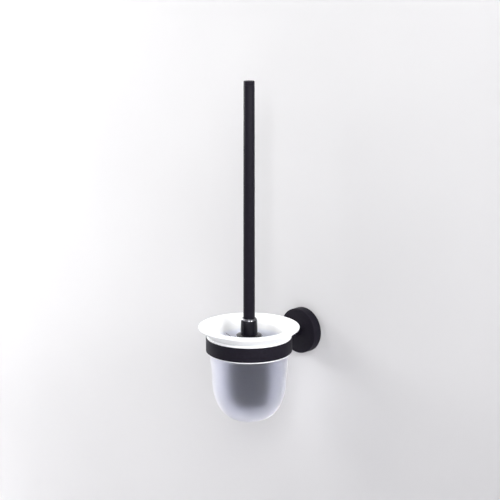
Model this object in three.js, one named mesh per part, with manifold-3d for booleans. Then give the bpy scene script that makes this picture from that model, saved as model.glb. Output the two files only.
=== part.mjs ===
// A wall-mounted toilet brush holder. A round rose on a screwed bracket carries an arm with a band at its
// end. A flared frosted glass cup drops into a plastic liner in the band, and the brush stands in the cup.
//
// Millimetres, +Z up. The origin is the centre of the bracket's back face on the wall, +X runs along the
// wall and +Y into it, so everything in front of the wall has a negative y.
import * as THREE from "three";
import { mergeVertices } from "three/addons/utils/BufferGeometryUtils.js";
import Module from "manifold-3d";

// ---- Fits ------------------------------------------------------------------------------------------
const SEAT_GAP = 0.3; // between two faces that rest on each other
const THREAD_GAP = 0.15; // radial, between a screw and the hole that holds it
const CLEARANCE_GAP = 0.4; // radial, where a screw only passes through
const SLIP_GAP = 0.4; // radial, where the cup drops into the liner
const OVERCUT = 1; // how far a cutting body runs past what it cuts

// ---- Wall rose: a shallow round cover --------------------------------------------------------------
const ROSE_RADIUS = 25;
const ROSE_DEPTH = 11.2; // from the wall to the front face
const ROSE_WALL = 2;
const ROSE_FRONT = 2.6; // thickness of the front face
const ROSE_EDGE = 0.8; // rounding of the front edge
const WALL_GAP = 0.3; // the rose's rim stands this far off the wall
const ARM_SEAT_DEPTH = 0.6; // shallow recess that centres the arm on the rose

// ---- Wall bracket: a cast disc inside the rose -----------------------------------------------------
const BRACKET_GAP = 0.6; // radial, between bracket and rose
const BRACKET_DEPTH = 7.6;
const BRACKET_BACK = 2.4; // left behind the pocket for the arm screw's head
const POCKET_GAP = 2; // radial, round the arm screw's head
const GROOVE_DEPTH = 2.4; // a V round the rim, for the grub screw's point
const GROOVE_FLOOR = 0.6; // width of the V's flat bottom
const SCREW_SPACING = 26; // between the two wall screws, one above the other
const SLOT_TRAVEL = 3; // how far a wall screw can be shifted in its slot
const COUNTERBORE_DEPTH = 3.6;

// ---- Wall screws and plugs -------------------------------------------------------------------------
const WALL_SCREW_RADIUS = 2;
const WALL_SCREW_LENGTH = 30; // under the head
const WALL_SCREW_HEAD = 3.9; // head radius
const WALL_SCREW_HEAD_HEIGHT = 2.6;
const WALL_SCREW_BLADE = 1; // width of the cross recess's blades
const SCREW_POINT = 0.8; // length of a screw's tapered point, as a share of its radius
const PLUG_WALL = 1.2;
const PLUG_LENGTH = 28;
const PLUG_RIB = 0.5; // how far the ribs stand out
const PLUG_RIBS = 5;

// ---- Grub screw that locks the rose on the bracket -------------------------------------------------
const GRUB_RADIUS = 2;
const GRUB_SUNK = 0.6; // how far its end sits inside the rose's side
const GRUB_POINT = 0.5; // radius of the blunt point
const GRUB_SOCKET = 1.1; // hexagon, across its corners, halved
const GRUB_SOCKET_DEPTH = 1.4;

// ---- Arm and the screws at its two ends ------------------------------------------------------------
const ARM_RADIUS = 5;
const ARM_SCREW_RADIUS = 2.5;
const ARM_SCREW_LENGTH = 13;
const ARM_SCREW_HEAD = 4.6;
const ARM_SCREW_HEAD_HEIGHT = 2.7;
const ARM_SCREW_SOCKET = 1.7;
const RING_SCREW_RADIUS = 2;
const RING_SCREW_LENGTH = 10;
const RING_SCREW_HEAD = 3.6;
const RING_SCREW_HEAD_HEIGHT = 1.4;
const RING_SCREW_SOCKET = 1.2;
const BORE_SPARE = 2; // thread left beyond each screw's end

// ---- Band and liner --------------------------------------------------------------------------------
const RING_RADIUS = 46.2;
const RING_WALL = 2;
const RING_HEIGHT = 15.1;
const RING_RISE = 1.85; // the band's mid height above the arm's axis
const RING_EDGE = 0.5;
const CUP_REACH = 87.3; // from the wall to the axis of the cup
const LINER_WALL = 1.1;
const LINER_GAP = 0.2; // radial, between liner and band
const FLANGE_OVERHANG = 0.7; // the flange's edge stays this far inside the band's outside
const FLANGE_HEIGHT = 2.6;
const FLANGE_LAND = 0.8; // width of the flange's flat top
const FLANGE_EDGE = 0.4;
const BEAD_HEIGHT = 1.2; // snap bead below the band
const BEAD_OVERHANG = 0.9; // the bead's edge stays this far inside the band's outside
const LINER_SPLIT = 9; // width of the split at the back, which clears the ring screw's head

// ---- Glass cup -------------------------------------------------------------------------------------
const LIP_RADIUS = 53.9;
const LIP_EDGE = 0.6; // rounding of the lip's rim
const LIP_RIM = 1.3; // height of the rim's upright edge
const LIP_SLOPE = 0.815; // rise of the lip's underside for each millimetre outwards
const NECK_FILLET = 3;
const MOUTH_WALL = 6; // from the neck's outside to the mouth
const MOUTH_FILLET = 9;
const BELLY_RADIUS = 40.1;
const BELLY_DROP = 27; // from the band's lower edge to where the bowl starts
const BELLY_WALL = 4.4;
const BOWL_HEIGHT = 49.4;
const BOWL_FLAT = 8.7; // radius of the flat that the cup stands on
const BOWL_POWER = 2.29; // squareness of the bowl's corner: 2 is an ellipse
const BASE_THICKNESS = 6;

// ---- Brush -----------------------------------------------------------------------------------------
const COLLAR_BASE_RADIUS = 9.15;
const COLLAR_TOP_RADIUS = 8.75;
const COLLAR_HEIGHT = 17.15;
const COLLAR_SHOULDER = 2.2; // how far in the rounded shoulder comes at its top
const COLLAR_SHOULDER_DROP = 4.6; // how far down the shoulder reaches
const COLLAR_FLOOR = 3; // thickness under the handle's end
const DISC_RADIUS = 13.5;
const DISC_HEIGHT = 3;
const DISC_EDGE = 0.7;
const DISC_FALL = 1.2; // how much lower the disc's brim is than its middle
const DISC_BELOW_RIM = 8.15; // from the lip's top down to the disc's middle
const HANDLE_GAP = 0.15; // radial, between handle and collar
const HANDLE_BASE_RADIUS = 6.2;
const HANDLE_TOP_RADIUS = 5.8;
const HANDLE_WALL = 1.2;
const HANDLE_LENGTH = 261.75;
const CAP_HEIGHT = 4.3;
const CAP_EDGE = 0.9;
const CAP_SPIGOT = 9;
const INSERT_LENGTH = 20;
const STUD_RADIUS = 3;
const STUD_UP = 12; // into the handle's insert
const STUD_DOWN = 14; // into the core
const CORE_TOP_RADIUS = 7.5;
const CORE_END_RADIUS = 6;
const BRISTLE_RADIUS = 28.5;
const BRISTLE_ROWS = 8;
const BRISTLE_TUFTS = 12;
const TUFT_DIP = 0.2; // depth of the dips between tufts, as a share of their length
const ROW_HEIGHT = 5;
const BRISTLE_CUP_GAP = 3; // from the bristle tips to the inside of the bowl
const FIRST_ROW_DROP = 8; // from the disc's underside to the first row's top
const LAST_ROW_RISE = 10; // from the cup's inner floor to the last row's underside
const TIP_RADIUS = 17; // tuft under the end of the core

// ---- Roundness -------------------------------------------------------------------------------------
const WIDE_SEGMENTS = 40;
const BODY_SEGMENTS = 24;
const SMALL_SEGMENTS = 12;
const ARC_STEPS = 3;
const BOWL_STEPS = 7;
const TUFT_STEPS = 4;
const SHOULDER_STEPS = 4;

// ---- Places that follow from the sizes -------------------------------------------------------------
const ringLow = RING_RISE - RING_HEIGHT / 2;
const ringTop = RING_RISE + RING_HEIGHT / 2;
const ringInner = RING_RADIUS - RING_WALL;
const linerOuter = ringInner - LINER_GAP;
const linerInner = linerOuter - LINER_WALL;
const neckRadius = linerInner - SLIP_GAP;
const flangeRadius = RING_RADIUS - FLANGE_OVERHANG;
const flangeTop = ringTop + FLANGE_HEIGHT;
const seatRadius = flangeRadius - FLANGE_LAND;
const lipBase = flangeTop + SEAT_GAP - (seatRadius - neckRadius) * LIP_SLOPE;
const lipTop = lipBase + (LIP_RADIUS - neckRadius) * LIP_SLOPE + LIP_RIM;
const bellyLevel = ringLow - BELLY_DROP;
const cupBottom = bellyLevel - BOWL_HEIGHT;
const cupFloor = cupBottom + BASE_THICKNESS;
const bracketRadius = ROSE_RADIUS - ROSE_WALL - BRACKET_GAP;
const grooveLevel = BRACKET_DEPTH / 2;
const armStart = ROSE_DEPTH - ARM_SEAT_DEPTH + SEAT_GAP;
const roseInside = ROSE_DEPTH - ROSE_FRONT;
const discTop = lipTop - DISC_BELOW_RIM;
const discLow = discTop - DISC_HEIGHT;
const collarLow = discTop + SEAT_GAP;
const handleLow = collarLow + COLLAR_FLOOR + SEAT_GAP;
const handleTop = handleLow + HANDLE_LENGTH;
const studLow = discLow - STUD_DOWN;
const studTop = handleLow + STUD_UP;
const coreEnd = cupFloor + LAST_ROW_RISE - SEAT_GAP;

// ---- Geometry helpers ------------------------------------------------------------------------------
const MERGE_DISTANCE = 1e-4; // corners closer than this are one
const wasm = await Module();
wasm.setup();

// A closed geometry as a solid that can be joined to others and cut.
function solid(geometry) {
  const bare = geometry.index ? geometry.toNonIndexed() : geometry.clone();
  bare.deleteAttribute("normal");
  bare.deleteAttribute("uv");
  const merged = mergeVertices(bare, MERGE_DISTANCE);
  const corners = merged.index.array;
  const triangles = [];
  for (let i = 0; i < corners.length; i += 3) {
    const [a, b, c] = [corners[i], corners[i + 1], corners[i + 2]];
    if (a !== b && b !== c && a !== c) triangles.push(a, b, c);
  }
  const vertProperties = merged.attributes.position.array;
  const triVerts = new Uint32Array(triangles);
  return new wasm.Manifold(new wasm.Mesh({ numProp: 3, vertProperties, triVerts }));
}

function geometryOf(body) {
  const mesh = body.getMesh();
  const geometry = new THREE.BufferGeometry();
  geometry.setAttribute("position", new THREE.BufferAttribute(mesh.vertProperties, 3));
  geometry.setIndex(new THREE.BufferAttribute(mesh.triVerts, 1));
  geometry.computeVertexNormals();
  return geometry;
}

// The first geometry with the others taken away.
function cut(geometry, ...cutters) {
  return geometryOf(cutters.reduce((left, cutter) => left.subtract(solid(cutter)), solid(geometry)));
}

// Points [radius, height, rounding] as an outline in which each corner that has a rounding is an arc.
function outline(corners, closed) {
  const count = corners.length;
  return corners.flatMap(([radius, height, rounding = 0], i) => {
    const corner = new THREE.Vector2(radius, height);
    const isEnd = !closed && (i === 0 || i === count - 1);
    if (!rounding || isEnd) return [corner];
    const [lastRadius, lastHeight] = corners[(i + count - 1) % count];
    const [nextRadius, nextHeight] = corners[(i + 1) % count];
    const before = new THREE.Vector2(lastRadius, lastHeight).sub(corner);
    const after = new THREE.Vector2(nextRadius, nextHeight).sub(corner);
    const half = before.angleTo(after) / 2;
    const reach = Math.min(rounding / Math.tan(half), before.length() / 2, after.length() / 2);
    const arcRadius = reach * Math.tan(half);
    const start = before.clone().setLength(reach);
    const end = after.clone().setLength(reach);
    const centre = start.clone().add(end).setLength(arcRadius / Math.sin(half)).add(corner);
    const first = start.add(corner).sub(centre);
    const last = end.add(corner).sub(centre);
    const from = first.angle();
    const turn = Math.atan2(first.cross(last), first.dot(last));
    return Array.from({ length: ARC_STEPS + 1 }, (_, k) => {
      const angle = from + (turn * k) / ARC_STEPS;
      return new THREE.Vector2(Math.cos(angle), Math.sin(angle)).multiplyScalar(arcRadius).add(centre);
    });
  });
}

// An outline turned about +Z. The corners run anticlockwise, with the radius to the right and +Z up.
function turned(corners, segments = BODY_SEGMENTS) {
  const closed = corners[0][0] > 0;
  const points = outline(corners, closed);
  if (closed) points.push(points[0].clone());
  return new THREE.LatheGeometry(points, segments).rotateX(Math.PI / 2);
}

// A plain cylinder along +Z, for shanks and holes.
function rod(radius, low, high, segments = SMALL_SEGMENTS) {
  const cylinder = new THREE.CylinderGeometry(radius, radius, high - low, segments);
  return cylinder.rotateX(Math.PI / 2).translate(0, 0, (low + high) / 2);
}

// A round-ended slot along X, from one height to another.
function slot(halfWidth, travel, low, high) {
  const shape = new THREE.Shape();
  shape.absarc(travel / 2, 0, halfWidth, -Math.PI / 2, Math.PI / 2);
  shape.absarc(-travel / 2, 0, halfWidth, Math.PI / 2, (3 * Math.PI) / 2);
  const options = { depth: high - low, bevelEnabled: false, curveSegments: SMALL_SEGMENTS / 2 };
  return new THREE.ExtrudeGeometry(shape, options).translate(0, 0, low);
}

// The bowl's rounded corner, from its widest circle down to the flat, or up when rising is true.
function bowlCorner(widest, level, height, rising) {
  const points = Array.from({ length: BOWL_STEPS + 1 }, (_, k) => {
    const angle = (k / BOWL_STEPS) * (Math.PI / 2);
    const out = Math.max(Math.cos(angle), 0) ** (2 / BOWL_POWER);
    const down = Math.sin(angle) ** (2 / BOWL_POWER);
    return [BOWL_FLAT + (widest - BOWL_FLAT) * out, level - height * down];
  });
  return rising ? points.reverse() : points;
}

// How far out the inside of the bowl is at a height.
function insideRadius(height) {
  const widest = BELLY_RADIUS - BELLY_WALL;
  const depth = (bellyLevel - height) / (BOWL_HEIGHT - BASE_THICKNESS);
  if (depth <= 0) return widest;
  const share = Math.max(1 - Math.min(depth, 1) ** BOWL_POWER, 0) ** (1 / BOWL_POWER);
  return BOWL_FLAT + (widest - BOWL_FLAT) * share;
}

// A screw along +Z with its head's underside at 0 and its shank below it. A sunk head is a cone whose
// flat top is at headHeight. The drive is a hexagon, or a cross when crossWidth is given.
function screw({ radius, length, head, headHeight, sunk, socket, socketDepth, crossWidth }) {
  const point = radius * SCREW_POINT;
  const shank = [[0, -length], [radius - point / 2, -length], [radius, point - length]];
  const top = sunk
    ? [[radius, 0], [head, headHeight], [0, headHeight]]
    : [[radius, 0], [head, 0], [head, headHeight, headHeight / 2], [0, headHeight]];
  const body = turned([...shank, ...top], SMALL_SEGMENTS);
  const low = headHeight - socketDepth;
  if (!crossWidth) return cut(body, rod(socket, low, headHeight + OVERCUT, 6));
  const blade = new THREE.BoxGeometry(2 * socket, crossWidth, 2 * socketDepth).translate(0, 0, headHeight);
  return cut(body, blade, blade.clone().rotateZ(Math.PI / 2));
}

// ---- Finishes --------------------------------------------------------------------------------------
const FINISHES = {
  matteBlack: { color: 0x26242f, roughness: 0.55, metalness: 0.1 },
  glossBlack: { color: 0x14131a, roughness: 0.12, metalness: 0 },
  softBlack: { color: 0x1d1c24, roughness: 0.6, metalness: 0 },
  frostedGlass: { color: 0xf4f6fa, roughness: 0.45, metalness: 0, transparent: true, opacity: 0.75 },
  milkPlastic: { color: 0xf2f2f4, roughness: 0.35, metalness: 0 },
  zinc: { color: 0x9a9ca0, roughness: 0.5, metalness: 1 },
  steel: { color: 0xb9bcc2, roughness: 0.3, metalness: 1 },
  nylon: { color: 0xa8a9ab, roughness: 0.6, metalness: 0 },
};

function part(name, geometry, finish) {
  const mesh = new THREE.Mesh(geometry, new THREE.MeshStandardMaterial(FINISHES[finish]));
  mesh.name = name;
  return mesh;
}

// ---- Wall rose, bracket and arm. Here +Z runs out from the wall and +Y is up. -----------------------
function bracketGeometry() {
  const floor = GROOVE_FLOOR / 2;
  const mouth = floor + GROOVE_DEPTH;
  const pocket = ARM_SCREW_HEAD + POCKET_GAP;
  const counterbore = BRACKET_DEPTH - COUNTERBORE_DEPTH;
  const body = turned([
    [0, 0],
    [bracketRadius, 0],
    [bracketRadius, grooveLevel - mouth],
    [bracketRadius - GROOVE_DEPTH, grooveLevel - floor],
    [bracketRadius - GROOVE_DEPTH, grooveLevel + floor],
    [bracketRadius, grooveLevel + mouth],
    [bracketRadius, BRACKET_DEPTH],
    [pocket, BRACKET_DEPTH],
    [pocket, BRACKET_BACK],
    [0, BRACKET_BACK],
  ]);
  const cutters = [SCREW_SPACING / 2, -SCREW_SPACING / 2].flatMap((height) => [
    slot(WALL_SCREW_RADIUS + CLEARANCE_GAP, SLOT_TRAVEL, -OVERCUT, BRACKET_DEPTH + OVERCUT)
      .translate(0, height, 0),
    slot(WALL_SCREW_HEAD + CLEARANCE_GAP, SLOT_TRAVEL, counterbore, BRACKET_DEPTH + OVERCUT)
      .translate(0, height, 0),
  ]);
  return cut(body, ...cutters);
}

function wallScrewGeometry() {
  return screw({
    radius: WALL_SCREW_RADIUS,
    length: WALL_SCREW_LENGTH,
    head: WALL_SCREW_HEAD,
    headHeight: WALL_SCREW_HEAD_HEIGHT,
    socket: WALL_SCREW_HEAD / 2,
    socketDepth: WALL_SCREW_HEAD_HEIGHT / 2,
    crossWidth: WALL_SCREW_BLADE,
  });
}

// A plug with ribs, open at both ends, with its mouth at the wall's face.
function plugGeometry() {
  const bore = WALL_SCREW_RADIUS + THREAD_GAP;
  const skin = bore + PLUG_WALL;
  const pitch = PLUG_LENGTH / (PLUG_RIBS + 1);
  const ribs = Array.from({ length: PLUG_RIBS }, (_, k) => {
    const foot = (k + 1) * pitch - PLUG_LENGTH;
    return [[skin, foot - PLUG_RIB], [skin + PLUG_RIB, foot], [skin, foot]];
  }).flat();
  return turned(
    [[bore, -PLUG_LENGTH], [skin, -PLUG_LENGTH], ...ribs, [skin, 0], [bore, 0]],
    SMALL_SEGMENTS,
  );
}

function roseGeometry() {
  const inner = ROSE_RADIUS - ROSE_WALL;
  const body = turned(
    [
      [inner, WALL_GAP],
      [ROSE_RADIUS, WALL_GAP],
      [ROSE_RADIUS, ROSE_DEPTH, ROSE_EDGE],
      [ARM_RADIUS + SEAT_GAP, ROSE_DEPTH],
      [ARM_RADIUS + SEAT_GAP, ROSE_DEPTH - ARM_SEAT_DEPTH],
      [ARM_SCREW_RADIUS + CLEARANCE_GAP, ROSE_DEPTH - ARM_SEAT_DEPTH],
      [ARM_SCREW_RADIUS + CLEARANCE_GAP, roseInside],
      [inner, roseInside],
    ],
    WIDE_SEGMENTS,
  );
  const hole = rod(GRUB_RADIUS + THREAD_GAP, inner - OVERCUT, ROSE_RADIUS + OVERCUT).rotateX(Math.PI / 2);
  return cut(body, hole.translate(0, 0, grooveLevel));
}

// The grub screw points from the rose's underside into the bracket's groove.
function grubGeometry() {
  const outer = ROSE_RADIUS - GRUB_SUNK;
  const tip = bracketRadius - GROOVE_DEPTH + SEAT_GAP;
  const cone = GRUB_RADIUS - GRUB_POINT;
  const body = turned(
    [[0, tip], [GRUB_POINT, tip], [GRUB_RADIUS, tip + cone], [GRUB_RADIUS, outer], [0, outer]],
    SMALL_SEGMENTS,
  );
  const drive = rod(GRUB_SOCKET, outer - GRUB_SOCKET_DEPTH, outer + OVERCUT, 6);
  return cut(body, drive).rotateX(Math.PI / 2).translate(0, 0, grooveLevel);
}

// The arm's far end is hollowed to sit on the round band.
function armGeometry() {
  const end = CUP_REACH - RING_RADIUS;
  const body = rod(ARM_RADIUS, armStart, end + ARM_RADIUS, BODY_SEGMENTS);
  const hollow = RING_RADIUS + SEAT_GAP;
  const saddle = new THREE.CylinderGeometry(hollow, hollow, 4 * ARM_RADIUS, 2 * WIDE_SEGMENTS);
  const nearBore = roseInside + ARM_SCREW_LENGTH + BORE_SPARE;
  const farBore = end - RING_SCREW_LENGTH - BORE_SPARE;
  return cut(
    body,
    saddle.translate(0, 0, CUP_REACH),
    rod(ARM_SCREW_RADIUS + THREAD_GAP, armStart - OVERCUT, nearBore),
    rod(RING_SCREW_RADIUS + THREAD_GAP, farBore, end + ARM_RADIUS + OVERCUT),
  );
}

function armScrewGeometry() {
  const geometry = screw({
    radius: ARM_SCREW_RADIUS,
    length: ARM_SCREW_LENGTH,
    head: ARM_SCREW_HEAD,
    headHeight: ARM_SCREW_HEAD_HEIGHT,
    socket: ARM_SCREW_SOCKET,
    socketDepth: ARM_SCREW_HEAD_HEIGHT / 2,
  });
  return geometry.rotateX(Math.PI).translate(0, 0, roseInside - SEAT_GAP);
}

function ringScrewGeometry() {
  const geometry = screw({
    radius: RING_SCREW_RADIUS,
    length: RING_SCREW_LENGTH,
    head: RING_SCREW_HEAD,
    headHeight: RING_SCREW_HEAD_HEIGHT,
    sunk: true,
    socket: RING_SCREW_SOCKET,
    socketDepth: RING_SCREW_HEAD_HEIGHT / 2,
  });
  return geometry.translate(0, 0, CUP_REACH - ringInner - RING_SCREW_HEAD_HEIGHT);
}

function wallGroup() {
  const group = new THREE.Group();
  group.rotation.x = Math.PI / 2;
  group.add(part("wall_bracket", bracketGeometry(), "zinc"));
  const screwSeat = BRACKET_DEPTH - COUNTERBORE_DEPTH + SEAT_GAP;
  for (const [place, height] of [["upper", SCREW_SPACING / 2], ["lower", -SCREW_SPACING / 2]]) {
    const wallScrew = part(`bracket_screw_${place}`, wallScrewGeometry(), "steel");
    wallScrew.position.set(0, height, screwSeat);
    const plug = part(`wall_plug_${place}`, plugGeometry(), "nylon");
    plug.position.set(0, height, -SEAT_GAP);
    group.add(wallScrew, plug);
  }
  group.add(
    part("rose", roseGeometry(), "matteBlack"),
    part("grub_screw", grubGeometry(), "steel"),
    part("arm", armGeometry(), "matteBlack"),
    part("arm_screw", armScrewGeometry(), "steel"),
    part("ring_screw", ringScrewGeometry(), "steel"),
  );
  return group;
}

// ---- Band, liner, cup and brush. Here +Z is up and the axis is the cup's. ---------------------------
function bandGeometry() {
  const band = turned(
    [
      [ringInner, ringLow],
      [RING_RADIUS, ringLow, RING_EDGE],
      [RING_RADIUS, ringTop, RING_EDGE],
      [ringInner, ringTop],
    ],
    WIDE_SEGMENTS,
  );
  // The countersink widens towards the inside of the band, so its cone is a little over the head's.
  const sunkRadius = RING_SCREW_HEAD + THREAD_GAP;
  const shankRadius = RING_SCREW_RADIUS + CLEARANCE_GAP;
  const hole = turned(
    [
      [0, 0],
      [sunkRadius, 0],
      [sunkRadius, SEAT_GAP],
      [shankRadius, SEAT_GAP + RING_SCREW_HEAD_HEIGHT],
      [shankRadius, SEAT_GAP + RING_WALL + OVERCUT],
      [0, SEAT_GAP + RING_WALL + OVERCUT],
    ],
    SMALL_SEGMENTS,
  );
  return cut(band, hole.rotateX(-Math.PI / 2).translate(0, ringInner - SEAT_GAP, 0));
}

function linerGeometry() {
  const turn = Math.PI / 2 - Math.atan(LIP_SLOPE);
  const seatStart = lipBase - NECK_FILLET * Math.tan(turn / 2) - SEAT_GAP;
  const beadTop = ringLow - SEAT_GAP;
  const beadRadius = RING_RADIUS - BEAD_OVERHANG;
  const liner = turned(
    [
      [linerInner, beadTop - BEAD_HEIGHT],
      [beadRadius, beadTop - BEAD_HEIGHT, FLANGE_EDGE],
      [beadRadius, beadTop, FLANGE_EDGE],
      [linerOuter, beadTop],
      [linerOuter, ringTop + SEAT_GAP],
      [flangeRadius, ringTop + SEAT_GAP],
      [flangeRadius, flangeTop, FLANGE_EDGE],
      [seatRadius, flangeTop],
      [linerInner, Math.min(seatStart, flangeTop - SEAT_GAP)],
    ],
    WIDE_SEGMENTS,
  );
  const tall = flangeTop - beadTop + 2 * BEAD_HEIGHT;
  const split = new THREE.BoxGeometry(LINER_SPLIT, RING_RADIUS, 2 * tall);
  return cut(liner, split.translate(0, RING_RADIUS, ringLow));
}

function cupGeometry() {
  const mouth = neckRadius - MOUTH_WALL;
  const bellyInner = BELLY_RADIUS - BELLY_WALL;
  return turned(
    [
      [0, cupBottom],
      ...bowlCorner(BELLY_RADIUS, bellyLevel, BOWL_HEIGHT, true),
      [neckRadius, ringLow],
      [neckRadius, lipBase, NECK_FILLET],
      [LIP_RADIUS, lipTop - LIP_RIM, LIP_EDGE],
      [LIP_RADIUS, lipTop, LIP_EDGE],
      [mouth, lipTop, MOUTH_FILLET],
      [mouth, ringLow],
      ...bowlCorner(bellyInner, bellyLevel, BOWL_HEIGHT - BASE_THICKNESS, false),
      [0, cupFloor],
    ],
    WIDE_SEGMENTS,
  );
}

function handleGeometry() {
  return turned([
    [HANDLE_BASE_RADIUS - HANDLE_WALL, handleLow],
    [HANDLE_BASE_RADIUS, handleLow],
    [HANDLE_TOP_RADIUS, handleTop],
    [HANDLE_TOP_RADIUS - HANDLE_WALL, handleTop],
  ]);
}

// How far out the handle's bore is at a height: the handle narrows evenly from its foot to its top.
function boreRadius(height) {
  const share = (height - handleLow) / HANDLE_LENGTH;
  return THREE.MathUtils.lerp(HANDLE_BASE_RADIUS, HANDLE_TOP_RADIUS, share) - HANDLE_WALL;
}

function handleCapGeometry() {
  const seat = handleTop + SEAT_GAP;
  const spigot = boreRadius(handleTop) - THREAD_GAP;
  return turned([
    [0, handleTop - CAP_SPIGOT],
    [spigot, handleTop - CAP_SPIGOT],
    [spigot, seat],
    [HANDLE_TOP_RADIUS, seat],
    [HANDLE_TOP_RADIUS, seat + CAP_HEIGHT, CAP_EDGE],
    [0, seat + CAP_HEIGHT],
  ]);
}

// The insert fills the handle's foot and holds the threaded stud in a blind bore.
function insertGeometry() {
  const bore = STUD_RADIUS + THREAD_GAP;
  const boreEnd = studTop + BORE_SPARE;
  const top = handleLow + INSERT_LENGTH;
  const skin = boreRadius(top) - THREAD_GAP;
  return turned(
    [[0, boreEnd], [bore, boreEnd], [bore, handleLow], [skin, handleLow], [skin, top], [0, top]],
    SMALL_SEGMENTS,
  );
}

function collarGeometry() {
  const bore = STUD_RADIUS + CLEARANCE_GAP;
  const sleeve = HANDLE_BASE_RADIUS + HANDLE_GAP;
  const top = collarLow + COLLAR_HEIGHT;
  const shoulder = Array.from({ length: SHOULDER_STEPS + 1 }, (_, k) => {
    const angle = (Math.PI / 2) * (k / SHOULDER_STEPS);
    return [
      COLLAR_TOP_RADIUS - COLLAR_SHOULDER * (1 - Math.cos(angle)),
      top - COLLAR_SHOULDER_DROP * (1 - Math.sin(angle)),
    ];
  });
  return turned([
    [bore, collarLow],
    [COLLAR_BASE_RADIUS, collarLow],
    ...shoulder,
    [sleeve, top],
    [sleeve, collarLow + COLLAR_FLOOR],
    [bore, collarLow + COLLAR_FLOOR],
  ]);
}

function discGeometry() {
  const bore = STUD_RADIUS + CLEARANCE_GAP;
  return turned([
    [bore, discLow],
    [DISC_RADIUS, discLow],
    [DISC_RADIUS, discTop - DISC_FALL, DISC_EDGE],
    [COLLAR_BASE_RADIUS, discTop],
    [bore, discTop],
  ]);
}

function coreGeometry() {
  const bore = STUD_RADIUS + THREAD_GAP;
  const boreEnd = studLow - BORE_SPARE;
  const top = discLow - SEAT_GAP;
  return turned([
    [0, coreEnd],
    [CORE_END_RADIUS, coreEnd],
    [CORE_TOP_RADIUS, top],
    [bore, top],
    [bore, boreEnd],
    [0, boreEnd],
  ]);
}

// How far out the core is at a height.
function coreRadius(height) {
  const share = (height - coreEnd) / (discLow - SEAT_GAP - coreEnd);
  return THREE.MathUtils.lerp(CORE_END_RADIUS, CORE_TOP_RADIUS, share);
}

// One round of tufts, as a disc with a lobe for each tuft.
function bristleRowGeometry(low) {
  const reach = Math.min(BRISTLE_RADIUS, insideRadius(low) - BRISTLE_CUP_GAP);
  const bore = coreRadius(low + ROW_HEIGHT) + THREAD_GAP;
  const dip = (reach - bore) * TUFT_DIP;
  const steps = BRISTLE_TUFTS * TUFT_STEPS;
  const shape = new THREE.Shape(
    Array.from({ length: steps }, (_, k) => {
      const angle = (2 * Math.PI * k) / steps;
      const radius = reach - (dip * (1 - Math.cos(BRISTLE_TUFTS * angle))) / 2;
      return new THREE.Vector2(Math.cos(angle), Math.sin(angle)).multiplyScalar(radius);
    }),
  );
  shape.holes.push(new THREE.Path().absarc(0, 0, bore, 0, 2 * Math.PI, true));
  const options = { depth: ROW_HEIGHT, bevelEnabled: false, curveSegments: BODY_SEGMENTS / 2 };
  return new THREE.ExtrudeGeometry(shape, options).translate(0, 0, low);
}

// The tuft under the core's end, which narrows to stand on the flat of the bowl.
function bristleTipGeometry() {
  const low = cupFloor + SEAT_GAP;
  const top = coreEnd - SEAT_GAP;
  const middle = (low + top) / 2;
  const reach = Math.min(TIP_RADIUS, insideRadius(middle) - BRISTLE_CUP_GAP);
  return turned([[0, low], [Math.min(BOWL_FLAT, reach), low], [reach, middle], [reach, top], [0, top]]);
}

function cupGroup() {
  const group = new THREE.Group();
  group.position.y = -CUP_REACH;
  group.add(
    part("ring_band", bandGeometry(), "matteBlack"),
    part("ring_liner", linerGeometry(), "milkPlastic"),
    part("glass_cup", cupGeometry(), "frostedGlass"),
    part("handle_tube", handleGeometry(), "matteBlack"),
    part("handle_cap", handleCapGeometry(), "matteBlack"),
    part("handle_insert", insertGeometry(), "softBlack"),
    part("head_stud", rod(STUD_RADIUS, studLow, studTop), "steel"),
    part("collar", collarGeometry(), "glossBlack"),
    part("head_disc", discGeometry(), "softBlack"),
    part("brush_core", coreGeometry(), "softBlack"),
  );
  const firstLow = discLow - FIRST_ROW_DROP - ROW_HEIGHT;
  const pitch = (firstLow - cupFloor - LAST_ROW_RISE) / (BRISTLE_ROWS - 1);
  for (let row = 0; row < BRISTLE_ROWS; row++) {
    group.add(part(`bristle_row_${row + 1}`, bristleRowGeometry(firstLow - row * pitch), "softBlack"));
  }
  group.add(part("bristle_tip", bristleTipGeometry(), "softBlack"));
  return group;
}

const brushHolder = new THREE.Group();
brushHolder.add(wallGroup(), cupGroup());

export default brushHolder;
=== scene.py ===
"""A wall-mounted toilet brush holder: a black rose and arm, a banded cup of frosted glass and its brush.

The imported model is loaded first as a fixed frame, and every piece is set out from it. Sizes inside the
classes are in millimetres. The pieces themselves are in metres, in the frame's own axes: +Z up, +X along
the wall and +Y into it.
"""

import logging
import math
import random
from collections.abc import Callable, Iterator, Sequence
from contextlib import contextmanager
from dataclasses import dataclass, field, replace
from enum import Enum
from functools import cache
from itertools import pairwise

import bpy
from mathutils import Matrix, Vector


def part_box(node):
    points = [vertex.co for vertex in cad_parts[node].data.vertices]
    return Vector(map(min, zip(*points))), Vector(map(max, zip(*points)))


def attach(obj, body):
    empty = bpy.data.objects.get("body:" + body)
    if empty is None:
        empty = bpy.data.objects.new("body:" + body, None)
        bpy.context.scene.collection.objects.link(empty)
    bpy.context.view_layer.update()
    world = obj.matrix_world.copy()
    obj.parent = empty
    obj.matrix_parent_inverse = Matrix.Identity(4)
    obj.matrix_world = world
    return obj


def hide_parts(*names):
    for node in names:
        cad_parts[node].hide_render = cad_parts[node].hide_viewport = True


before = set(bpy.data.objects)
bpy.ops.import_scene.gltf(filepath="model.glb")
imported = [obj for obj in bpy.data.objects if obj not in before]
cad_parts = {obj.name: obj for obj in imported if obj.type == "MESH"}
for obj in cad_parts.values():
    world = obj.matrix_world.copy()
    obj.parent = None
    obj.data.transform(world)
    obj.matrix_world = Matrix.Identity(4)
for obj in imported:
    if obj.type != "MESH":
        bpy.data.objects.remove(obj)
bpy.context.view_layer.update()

MM = 0.001
QUARTER = math.pi / 2
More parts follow.
